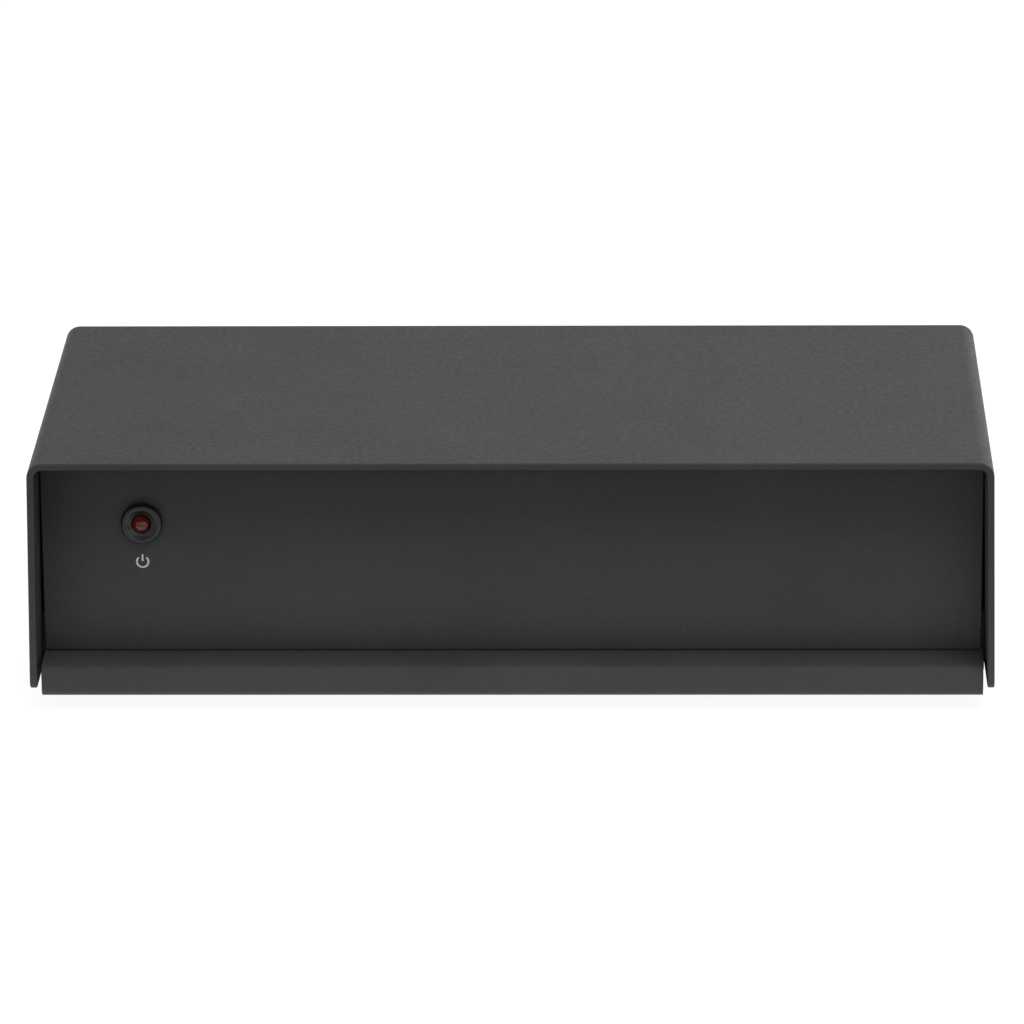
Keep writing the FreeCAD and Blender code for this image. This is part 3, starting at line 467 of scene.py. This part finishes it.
@dataclass(frozen=True)
class Epoxy:
    """Clear tinted epoxy, unlit."""

    colour: Colour = (0.22, 0.025, 0.012)

    def material(self, name: str) -> bpy.types.Material:
        """Builds the finish."""
        made = Surface(name)
        cloud = made.noise(1.2, 2.0)
        darker = tuple(part * 0.7 for part in self.colour)
        made.tint(made.mix(cloud, darker, self.colour))
        made.rough(0.08, 0.14, cloud)
        made.set(Transmission_Weight=0.35, IOR=1.5)
        return made.material


@dataclass(frozen=True)
class PanelInk:
    """White screen-printed ink on powder coat, slightly thin in places."""

    colour: Colour = (0.74, 0.75, 0.74)
    thin: Colour = (0.52, 0.53, 0.53)

    def material(self, name: str) -> bpy.types.Material:
        """Builds the finish."""
        made = Surface(name)
        grain = made.noise(0.25, 3.0)
        made.tint(made.mix(made.ramp(grain, 0.3, 0.5, 0.0, 1.0), self.thin, self.colour))
        made.rough(0.5, 0.6, grain)
        made.relief((grain, 0.004))
        return made.material


FINISHES: dict[Slot, Finish] = {
    Slot.PAINT: PowderCoat(),
    Slot.BLACK_STEEL: Metal((0.035, 0.035, 0.036), roughness=0.42, metallic=0.7),
    Slot.RUBBER: Moulding((0.018, 0.018, 0.018), roughness=0.85, depth=0.02),
    Slot.BLACK_PLASTIC: Moulding((0.012, 0.012, 0.012), roughness=0.34),
    Slot.RED_LENS: Epoxy(),
    Slot.TINNED: Metal((0.62, 0.62, 0.60), roughness=0.35),
    Slot.BOARD: Moulding((0.02, 0.12, 0.05), roughness=0.35),
    Slot.ZINC: Metal((0.60, 0.60, 0.58), roughness=0.32),
    Slot.NICKEL: Metal((0.68, 0.65, 0.60), roughness=0.16),
    Slot.GREEN_WIRE: Moulding((0.03, 0.22, 0.06), roughness=0.45),
    Slot.CHIP: Moulding((0.02, 0.02, 0.022), roughness=0.6),
    Slot.CAN: Moulding((0.02, 0.03, 0.08), roughness=0.28),
    Slot.FILM: Moulding((0.40, 0.05, 0.03), roughness=0.25),
    Slot.WHITE: Moulding((0.78, 0.78, 0.76), roughness=0.35),
    Slot.RED: Moulding((0.50, 0.02, 0.02), roughness=0.3),
}


class Palette:
    """Every finish, built once."""

    def __init__(self) -> None:
        """Builds the materials of the record's slots."""
        self.made = {slot: FINISHES[slot].material(slot.value + "_finish") for slot in Slot}

    def __getitem__(self, slot: Slot) -> bpy.types.Material:
        """Gives a slot's material."""
        return self.made[slot]


@dataclass(frozen=True)
class Viewpoint:
    """Where the photograph was taken from, in millimetres and degrees."""

    place: Point = (26.5, -1087.85, 394.85)
    yaw: float = -1.435
    pitch: float = 18.91
    roll: float = -0.512
    lens: float = 227.2
    sensor: float = 36.0
    reach: float = 50.0

    def build(self) -> None:
        """Makes the camera and gives it to the scene."""
        yaw, pitch, roll = (math.radians(angle) for angle in (self.yaw, self.pitch, self.roll))
        ahead = Vector((math.sin(yaw) * math.cos(pitch), math.cos(yaw) * math.cos(pitch), -math.sin(pitch)))
        level = Vector((math.cos(yaw), -math.sin(yaw), 0.0))
        upward = level.cross(ahead)
        right = level * math.cos(roll) + upward * math.sin(roll)
        top = upward * math.cos(roll) - level * math.sin(roll)
        camera = bpy.data.objects.new("camera", bpy.data.cameras.new("camera"))
        bpy.context.scene.collection.objects.link(camera)
        camera.data.lens = self.lens
        camera.data.sensor_width = self.sensor
        camera.data.clip_end = self.reach
        turned = Matrix((right, top, -ahead)).transposed().to_4x4()
        camera.matrix_world = Matrix.Translation(metres(self.place)) @ turned
        bpy.context.scene.camera = camera


@dataclass(frozen=True)
class Softbox:
    """One studio lamp, in metres and watts."""

    name: str
    place: Point
    size: tuple[float, float]
    power: float
    aim: Point = (0.0, 0.0, 0.02)

    def build(self) -> None:
        """Makes the lamp and turns it to what it lights."""
        light = bpy.data.lights.new(self.name, "AREA")
        light.shape = "RECTANGLE"
        light.size, light.size_y = self.size
        light.energy = self.power
        lamp = bpy.data.objects.new(self.name, light)
        lamp.location = self.place
        lamp.visible_glossy = False
        lamp.rotation_mode = "QUATERNION"
        lamp.rotation_quaternion = (Vector(self.aim) - Vector(self.place)).to_track_quat("-Z", "Y")
        bpy.context.scene.collection.objects.link(lamp)


@dataclass(frozen=True)
class Studio:
    """Soft light over a floor that shows plain white, with painted shade on the floor's far front for its
    bounce light and reflections, a pale backdrop and a dark ceiling to reflect.
    """

    ambient: float = 0.16
    ceiling: float = 0.12
    backdrop_left: float = 0.58
    backdrop_right: float = 1.15
    floor_reach: float = 6.0
    floor_glow: float = 0.93
    # painted shade: the floor's far front glows less in reflections
    far_painted_reflection_shade: float = 0.12
    floor_albedo: float = 0.8
    # painted shade: the floor's far front returns less bounce light
    far_painted_bounce_shade: float = 0.1
    shadow_albedo: float = 0.2
    lamps: tuple[Softbox, ...] = (
        Softbox("key_light", (0.3, -0.55, 1.4), (1.1, 1.1), 22.0),
        Softbox("fill_light", (-0.9, -1.2, 0.45), (0.8, 0.6), 3.2),
    )

    def build(self) -> None:
        """Makes the world, the lamps and the floor."""
        for lamp in self.lamps:
            lamp.build()
        world = bpy.data.worlds.new("studio")
        bpy.context.scene.world = world
        world.use_nodes = True
        graph = Graph(world.node_tree)
        path = graph.node("ShaderNodeLightPath").outputs
        clear = graph.math("MAXIMUM", path["Is Camera Ray"], path["Is Transmission Ray"])
        lit = graph.ramp(path["Is Glossy Ray"], 0.0, 1.0, self.ambient, self.reflected(graph))
        level = graph.ramp(clear, 0.0, 1.0, lit, 1.0)
        background = graph.node("ShaderNodeBackground", {"Color": WHITE_LIGHT, "Strength": level})
        graph.node("ShaderNodeOutputWorld", {"Surface": background.outputs[0]})
        self.floor()
        bpy.context.scene.view_settings.view_transform = "Standard"

    def reflected(self, graph: Graph) -> bpy.types.NodeSocket:
        """Gives what a glossy piece sees: a backdrop brighter to the right, fading to the ceiling.

        Args:
            graph: the world's tree.

        Returns:
            The brightness in each direction.
        """
        way = graph.node("ShaderNodeTexCoord").outputs["Generated"]
        along = graph.node("ShaderNodeSeparateXYZ", {0: way}).outputs
        side = graph.ramp(along["X"], -0.2, 0.3, self.backdrop_left, self.backdrop_right)
        fade = graph.ramp(along["Z"], 0.42, 0.72, 1.0, self.ceiling)
        return graph.math("MULTIPLY", side, fade)

    @staticmethod
    def depth(graph: Graph) -> bpy.types.NodeSocket:
        """Gives how far back a place on the floor is."""
        place = graph.node("ShaderNodeTexCoord").outputs["Object"]
        return graph.node("ShaderNodeSeparateXYZ", {0: place}).outputs["Y"]

    def albedo(self, graph: Graph) -> bpy.types.NodeSocket:
        """Gives how much light the floor returns, with painted shade: it falls away from the object's front,
        so that the floor's bounce light fades.
        """
        # painted shade: the floor darkens away from the object's front
        return graph.ramp(self.depth(graph), -0.13, -0.055, self.far_painted_bounce_shade, self.floor_albedo)

    def glow(self, graph: Graph) -> bpy.types.NodeSocket:
        """Gives the floor's own brightness, with painted shade that fades it in reflections of its far front.
        """
        glossy = graph.node("ShaderNodeLightPath").outputs["Is Glossy Ray"]
        depth = self.depth(graph)
        # painted shade: reflections of the floor darken towards its far front
        near = graph.ramp(depth, -0.16, -0.06, self.far_painted_reflection_shade, self.floor_glow)
        behind = graph.ramp(depth, 0.0, 0.1, near, self.floor_glow)
        return graph.ramp(glossy, 0.0, 1.0, self.floor_glow, behind)

    @staticmethod
    def shown(graph: Graph) -> bpy.types.NodeSocket:
        """Gives 1 where the camera, a reflection or a clear piece sees the floor, and 0 for light."""
        path = graph.node("ShaderNodeLightPath").outputs
        seen = graph.math("MAXIMUM", path["Is Camera Ray"], path["Is Glossy Ray"])
        return graph.math("MAXIMUM", seen, path["Is Transmission Ray"])

    def floor(self) -> None:
        """Makes the floor, which shows white but keeps the shadow on it."""
        reach = self.floor_reach
        mesh = bpy.data.meshes.new("floor")
        corners = [(-reach, -reach, 0), (reach, -reach, 0), (reach, reach, 0), (-reach, reach, 0)]
        mesh.from_pydata(corners, [], [(0, 1, 2, 3)])
        ground = bpy.data.objects.new("floor", mesh)
        bpy.context.scene.collection.objects.link(ground)
        material = bpy.data.materials.new("floor_paper")
        material.use_nodes = True
        graph = Graph(material.node_tree)
        paper = graph.node("ShaderNodeBsdfDiffuse", {"Color": self.albedo(graph)})
        faint = graph.node("ShaderNodeBsdfDiffuse", {"Color": (*[self.shadow_albedo] * 3, 1.0)})
        glow = graph.node("ShaderNodeEmission", {"Color": WHITE_LIGHT, "Strength": self.glow(graph)})
        lit = graph.node("ShaderNodeAddShader", {0: faint.outputs[0], 1: glow.outputs[0]})
        sides = {0: self.shown(graph), 1: paper.outputs[0], 2: lit.outputs[0]}
        either = graph.node("ShaderNodeMixShader", sides)
        graph.node("ShaderNodeOutputMaterial", {"Surface": either.outputs[0]})
        mesh.materials.append(material)


@dataclass
class Workshop:
    """What every sub-assembly shares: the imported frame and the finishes."""

    frame: dict[str, Any]
    palette: Palette

    def dress(self, node: str, slot: Slot) -> None:
        """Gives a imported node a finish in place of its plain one."""
        mesh = self.frame["nodes"][node].data
        mesh.materials.clear()
        mesh.materials.append(self.palette[slot])

    def refine(self, node: str, slot: Slot, body: Body = Body.CASE, edge: float = 0.0) -> None:
        """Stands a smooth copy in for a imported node.

        Args:
            node: the node that the copy replaces.
            slot: its finish.
            body: the body that it rides on.
            edge: the radius that its edges are rounded by, in millimetres.
        """
        mesh = self.frame["nodes"][node].data.copy()
        shape = bmesh.new()
        shape.from_mesh(mesh)
        bmesh.ops.remove_doubles(shape, verts=shape.verts, dist=0.0005 * MM)
        bmesh.ops.dissolve_limit(shape, angle_limit=math.radians(0.3), verts=shape.verts, edges=shape.edges)
        shape.to_mesh(mesh)
        shape.free()
        mesh.materials.clear()
        self.place(node + "_finished", mesh, slot, body, (node,), edge)

    def place(
        self,
        name: str,
        mesh: bpy.types.Mesh,
        slot: Slot | None,
        body: Body = Body.CASE,
        nodes: Sequence[str] = (),
        edge: float = 0.0,
    ) -> None:
        """Adds a piece made of a mesh.

        Args:
            name: the piece's name.
            mesh: its shape, in metres where it stands.
            slot: its finish, or none for a mesh that has its own.
            body: the body that it rides on.
            nodes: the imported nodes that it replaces.
            edge: the radius that its edges are rounded by, in millimetres.
        """
        mesh.shade_smooth()
        mesh.set_sharp_from_angle(angle=math.radians(CREASE))
        piece = bpy.data.objects.new(name, mesh)
        bpy.context.scene.collection.objects.link(piece)
        if slot and not mesh.materials:
            mesh.materials.append(self.palette[slot])
        if edge:
            rounding = piece.modifiers.new("rounded_edges", "BEVEL")
            rounding.width = edge * MM
            rounding.segments = 2
            rounding.limit_method = "ANGLE"
            rounding.angle_limit = math.radians(CREASE)
            rounding.harden_normals = True
        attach(piece, body.value)
        if nodes:
            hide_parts(*nodes)
        LOG.info("%s rides on %s", name, body.value)


@dataclass
class Case:
    """The cover, the chassis and what holds them."""

    shop: Workshop
    edge: float = 0.12
    screw_edge: float = 0.22
    foot_radius: float = 6.0
    foot_taper: float = 0.6
    foot_hole: float = 1.6
    foot_well: float = 2.6
    foot_floor: float = 1.4

    def build(self) -> None:
        """Finishes the folded steel and the fixings."""
        for node in ("cover", "chassis"):
            self.shop.refine(node, Slot.PAINT, edge=self.edge)
        self.shop.refine("cover_screws", Slot.BLACK_STEEL, edge=self.screw_edge)
        self.feet()

    def feet(self) -> None:
        """Stands four turned feet at the corners of a grid."""
        low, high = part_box("rubber_feet")
        height = (high.z - low.z) / MM
        wide = self.foot_radius
        ring = wide - self.foot_taper
        rounding = 0.5
        profile = [(self.foot_hole, height - 0.01), (wide, height), (wide, height - 0.4)]
        profile += arc((ring - rounding, rounding), rounding, 0, -90, 5)
        profile += [(ring - 1.6, 0.0), (ring - 1.9, 0.3), (self.foot_well, 0.3)]
        profile += [(self.foot_well - 0.2, self.foot_floor), (self.foot_hole, self.foot_floor)]
        foot = bpy.data.objects.new("foot", lathe(profile, 48))
        grower = Grower("feet_grid", {
            "Across": high.x - low.x - 2 * wide * MM,
            "Along": high.y - low.y - 2 * wide * MM,
            "Middle": (high.y + low.y) / 2,
        })
        given = grower.given
        grid = grower.node("GeometryNodeMeshGrid", {
            "Size X": given["Across"], "Size Y": given["Along"], "Vertices X": 2, "Vertices Y": 2,
        })
        shift = grower.node("ShaderNodeCombineXYZ", {"Y": given["Middle"], "Z": low.z})
        placed = grower.node("GeometryNodeTransform", {
            "Geometry": grid.outputs["Mesh"], "Translation": shift.outputs[0],
        })
        shape = grower.node("GeometryNodeObjectInfo", {"Object": foot})
        stood = grower.node("GeometryNodeInstanceOnPoints", {
            "Points": placed.outputs[0], "Instance": shape.outputs["Geometry"],
        })
        material = self.shop.palette[Slot.RUBBER]
        mesh = grower.grow(bpy.data.meshes.new("none"), stood.outputs[0], material)
        bpy.data.objects.remove(foot)
        self.shop.place("feet", mesh, Slot.RUBBER, nodes=("rubber_feet",))


@dataclass
class Lamp:
    """The power lamp in the front panel, and the sign under it."""

    shop: Workshop
    lens_radius: float = 1.5
    lens_tip: float = 2.35
    hole_radius: float = 1.6
    bezel_radius: float = 3.58
    bezel_proud: float = 1.6
    barrel_radius: float = 2.9
    barrel_length: float = 6.5
    barrel_bore: float = 2.0
    rim_radius: float = 0.62
    seat: float = 1.95
    flange: float = 0.4
    sign_radius: float = 1.0
    sign_stroke: float = 0.3
    sign_drop: float = 7.2
    sign_gap: float = 42.0
    sign_steps: int = 28
    ink: float = 0.03
    middle: Vector = field(init=False)

    def build(self) -> None:
        """Makes the lamp's pieces, turned about the bezel's own axis."""
        low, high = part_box("led_bezel")
        self.middle = (low + high) / 2
        self.middle.y = low.y + self.bezel_proud * MM
        self.bezel()
        self.lens()
        self.sign()
        self.shop.dress("led_collar", Slot.BLACK_PLASTIC)
        self.shop.dress("led_leads", Slot.TINNED)

    def turned(self, name: str, node: str, slot: Slot, profile: Profile) -> None:
        """Turns one piece of the lamp, heights counted forwards from the panel's face."""
        mesh = stand(lathe(profile), self.middle, (0.0, -1.0, 0.0))
        self.shop.place(name, mesh, slot, nodes=(node,))

    def bezel(self) -> None:
        """Makes the bezel, with a rolled rim round a shallow dish."""
        rim = self.bezel_proud
        outer = self.bezel_radius
        roll = self.rim_radius
        bore = self.barrel_bore
        profile = [(self.hole_radius, -self.seat), (self.hole_radius, rim - 0.75)]
        profile += arc((self.hole_radius + 0.2, rim - 0.75), 0.2, 180, 100, 4)
        profile += [(2.2, rim - 0.42), (2.5, rim - 0.2)]
        profile += arc((outer - roll, rim - roll), roll, 112, 0, 8)
        profile += [(outer, 0.06), (outer - 0.06, 0.0), (self.barrel_radius, 0.0)]
        barrel = self.barrel_length
        profile += [(self.barrel_radius, -barrel), (bore, -barrel), (bore, -self.seat)]
        self.turned("lamp_bezel", "led_bezel", Slot.BLACK_PLASTIC, profile)

    def lens(self) -> None:
        """Makes the lamp's domed lens with its flange."""
        radius = self.lens_radius
        profile = arc((0.0, self.lens_tip - radius), radius, 90, 0, 12)
        profile[0] = (0.0, self.lens_tip)
        back = -self.seat - 1
        wide = radius + self.flange
        profile += [(radius, -self.seat), (wide, -self.seat), (wide, back), (0.0, back)]
        self.turned("lamp_lens", "led_lens", Slot.RED_LENS, profile)

    def sign(self) -> None:
        """Prints a plain power sign: a broken ring with a bar in its gap."""
        middle = self.middle - Vector((0.0, 0.0, self.sign_drop * MM))
        shape = bmesh.new()
        for outline in self.sign_outlines():
            lower = [shape.verts.new(middle + metres((x, 0.0, z))) for x, z in outline]
            upper = [shape.verts.new(middle + metres((x, -self.ink, z))) for x, z in outline]
            shape.faces.new(upper)
            shape.faces.new(lower[::-1])
            for step in range(len(outline)):
                after = (step + 1) % len(outline)
                shape.faces.new((lower[step], lower[after], upper[after], upper[step]))
        bmesh.ops.remove_doubles(shape, verts=shape.verts, dist=0.001 * MM)
        bmesh.ops.recalc_face_normals(shape, faces=shape.faces)
        mesh = bpy.data.meshes.new("power_sign")
        shape.to_mesh(mesh)
        shape.free()
        mesh.materials.append(PanelInk().material("panel_ink"))
        self.shop.place("power_sign", mesh, None)

    def sign_outlines(self) -> list[Profile]:
        """Gives the four-sided pieces that the sign is made of, across and up from its middle."""
        half = self.sign_stroke / 2
        span = 360.0 - 2 * self.sign_gap
        steps = self.sign_steps
        turns = [math.radians(self.sign_gap + span * step / steps) for step in range(steps + 1)]
        outer, inner = (
            [(radius * math.sin(turn), radius * math.cos(turn)) for turn in turns]
            for radius in (self.sign_radius + half, self.sign_radius - half)
        )
        ring = [[outer[i], outer[i + 1], inner[i + 1], inner[i]] for i in range(steps)]
        top = self.sign_radius + 0.35
        return ring + [[(-half, 0.1), (half, 0.1), (half, top), (-half, top)]]


@dataclass
class RearPanel:
    """The sockets and the ground post."""

    shop: Workshop
    stud_radius: float = 2.0
    thread_depth: float = 0.3
    pitch: float = 0.7
    head_length: float = 2.4
    head_depth: float = 6.0
    spigot_radius: float = 2.95
    collar_radius: float = 3.4
    collar_length: float = 0.5
    rib_count: int = 20
    rib_radius: float = 0.6
    nut_edge: float = 0.12

    def build(self) -> None:
        """Finishes the connectors."""
        for side in ("input", "output"):
            self.shop.refine(side + "_socket_housing", Slot.BLACK_PLASTIC)
            self.shop.refine(side + "_socket_screw", Slot.BLACK_STEEL)
            for ear, slot in (("left", Slot.WHITE), ("right", Slot.RED)):
                self.shop.refine(f"{side}_{ear}_shell", Slot.NICKEL)
                self.shop.refine(f"{side}_{ear}_insert", slot)
                self.shop.refine(f"{side}_{ear}_contact", Slot.NICKEL)
        self.shop.refine("dc_socket_housing", Slot.BLACK_PLASTIC)
        self.shop.refine("dc_socket_pin", Slot.NICKEL)
        self.shop.dress("dc_socket_contacts", Slot.TINNED)
        self.stud()
        self.shop.dress("ground_star_washer", Slot.ZINC)
        self.shop.dress("ground_lug", Slot.TINNED)
        self.shop.dress("ground_lock_nut", Slot.ZINC)
        self.shop.refine("ground_washer", Slot.NICKEL, Body.WASHER)
        self.thumb_nut()
        self.shop.dress("ground_wire", Slot.GREEN_WIRE)

    def stud(self) -> None:
        """Makes the ground post's stud: a head, a shank and a thread that winds up it."""
        low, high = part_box("ground_stud")
        middle = Vector(((low.x + high.x) / 2, low.y, (low.z + high.z) / 2))
        length = (high.y - low.y) / MM
        head = (high.x - low.x) / 2 / MM
        root = self.stud_radius - self.thread_depth
        shank = self.head_length
        chamfer = 0.3
        profile = [(0.0, 0.0), (head - chamfer, 0.0), (head, chamfer), (head, shank), (root, shank)]
        profile += [(root, length - 0.35), (root - 0.35, length), (0.0, length)]
        core = lathe(profile, 48)
        run = length - shank - 0.8
        grower = Grower("stud_thread", {
            "Turns": run / self.pitch, "Radius": (self.stud_radius - self.thread_depth * 0.75) * MM,
            "Rise": run * MM, "Start": (shank + 0.4) * MM, "Ridge": self.thread_depth * 0.72 * MM,
        })
        given = grower.given
        helix = grower.node("GeometryNodeCurveSpiral", {
            "Resolution": 28, "Rotations": given["Turns"], "Start Radius": given["Radius"],
            "End Radius": given["Radius"], "Height": given["Rise"],
        })
        ridge = grower.node("GeometryNodeCurvePrimitiveCircle", {"Resolution": 4, "Radius": given["Ridge"]})
        swept = grower.node("GeometryNodeCurveToMesh", {
            "Curve": helix.outputs[0], "Profile Curve": ridge.outputs[0], "Fill Caps": True,
        })
        shift = grower.node("ShaderNodeCombineXYZ", {"Z": given["Start"]})
        thread = grower.node("GeometryNodeTransform", {
            "Geometry": swept.outputs[0], "Translation": shift.outputs[0],
        })
        whole = grower.joined(given["Geometry"], thread.outputs[0])
        mesh = stand(grower.grow(core, whole, self.shop.palette[Slot.NICKEL]), middle, (0.0, 1.0, 0.0))
        self.shop.place("threaded_stud", mesh, Slot.NICKEL, nodes=("ground_stud",))

    def thumb_nut(self) -> None:
        """Makes the thumb nut: a turned body with rounded ribs round its head."""
        low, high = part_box("ground_thumb_nut")
        middle = Vector(((low.x + high.x) / 2, high.y, (low.z + high.z) / 2))
        radius = (high.x - low.x) / 2 / MM
        length = (high.y - low.y) / MM
        rib = self.rib_radius
        collar = length - self.collar_length
        root = radius - rib + 0.12
        bore = self.stud_radius + 0.05
        head = self.head_depth
        profile = [(bore, -0.5), (bore + 0.5, 0.0), (root - 0.6, 0.0), (root, -0.6), (root, 0.6 - head)]
        profile += [(root - 0.5, 0.1 - head), (root - 0.5, -head), (self.spigot_radius, -head)]
        profile += [(self.spigot_radius, -collar), (self.collar_radius, -collar)]
        profile += [(self.collar_radius, -length), (bore, -length)]
        grower = Grower("nut_ribs", {
            "Ribs": self.rib_count, "Reach": (radius - rib) * MM, "Rib": rib * MM, "Depth": (head - 1.0) * MM,
        })
        given = grower.given
        places = grower.node("GeometryNodeMeshCircle", {"Vertices": given["Ribs"], "Radius": given["Reach"]})
        bar = grower.node("GeometryNodeMeshCylinder", {
            "Vertices": 14, "Radius": given["Rib"], "Depth": given["Depth"],
        })
        ribs = grower.node("GeometryNodeInstanceOnPoints", {
            "Points": places.outputs[0], "Instance": bar.outputs["Mesh"],
        })
        lower = grower.node("ShaderNodeCombineXYZ", {"Z": -head / 2 * MM})
        sunk = grower.node("GeometryNodeTransform", {
            "Geometry": ribs.outputs[0], "Translation": lower.outputs[0],
        })
        whole = grower.joined(given["Geometry"], sunk.outputs[0])
        mesh = grower.grow(lathe(profile), whole, self.shop.palette[Slot.NICKEL])
        stand(mesh, middle, (0.0, 1.0, 0.0))
        self.shop.place("thumb_nut", mesh, Slot.NICKEL, Body.NUT, ("ground_thumb_nut",), edge=self.nut_edge)


@dataclass
class Board:
    """The circuit board and what is soldered to it."""

    shop: Workshop

    def build(self) -> None:
        """Finishes the board's pieces."""
        for node, slot in (
            ("circuit_board", Slot.BOARD),
            ("board_standoffs", Slot.ZINC),
            ("board_screws", Slot.ZINC),
            ("opamp_left", Slot.CHIP),
            ("opamp_right", Slot.CHIP),
            ("filter_capacitors", Slot.CAN),
            ("coupling_capacitors", Slot.CAN),
            ("film_capacitors", Slot.FILM),
            ("resistors", Slot.FILM),
            ("voltage_regulator", Slot.CHIP),
            ("protection_diode", Slot.CHIP),
        ):
            self.shop.dress(node, slot)


def main() -> None:
    """Loads the frame and builds everything on it."""
    logging.basicConfig(level=logging.INFO, format="%(name)s: %(message)s")
    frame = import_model()
    shop = Workshop(frame, Palette())
    Viewpoint().build()
    Studio().build()
    for part in (Case(shop), Lamp(shop), RearPanel(shop), Board(shop)):
        part.build()


if __name__ == "__main__":
    main()
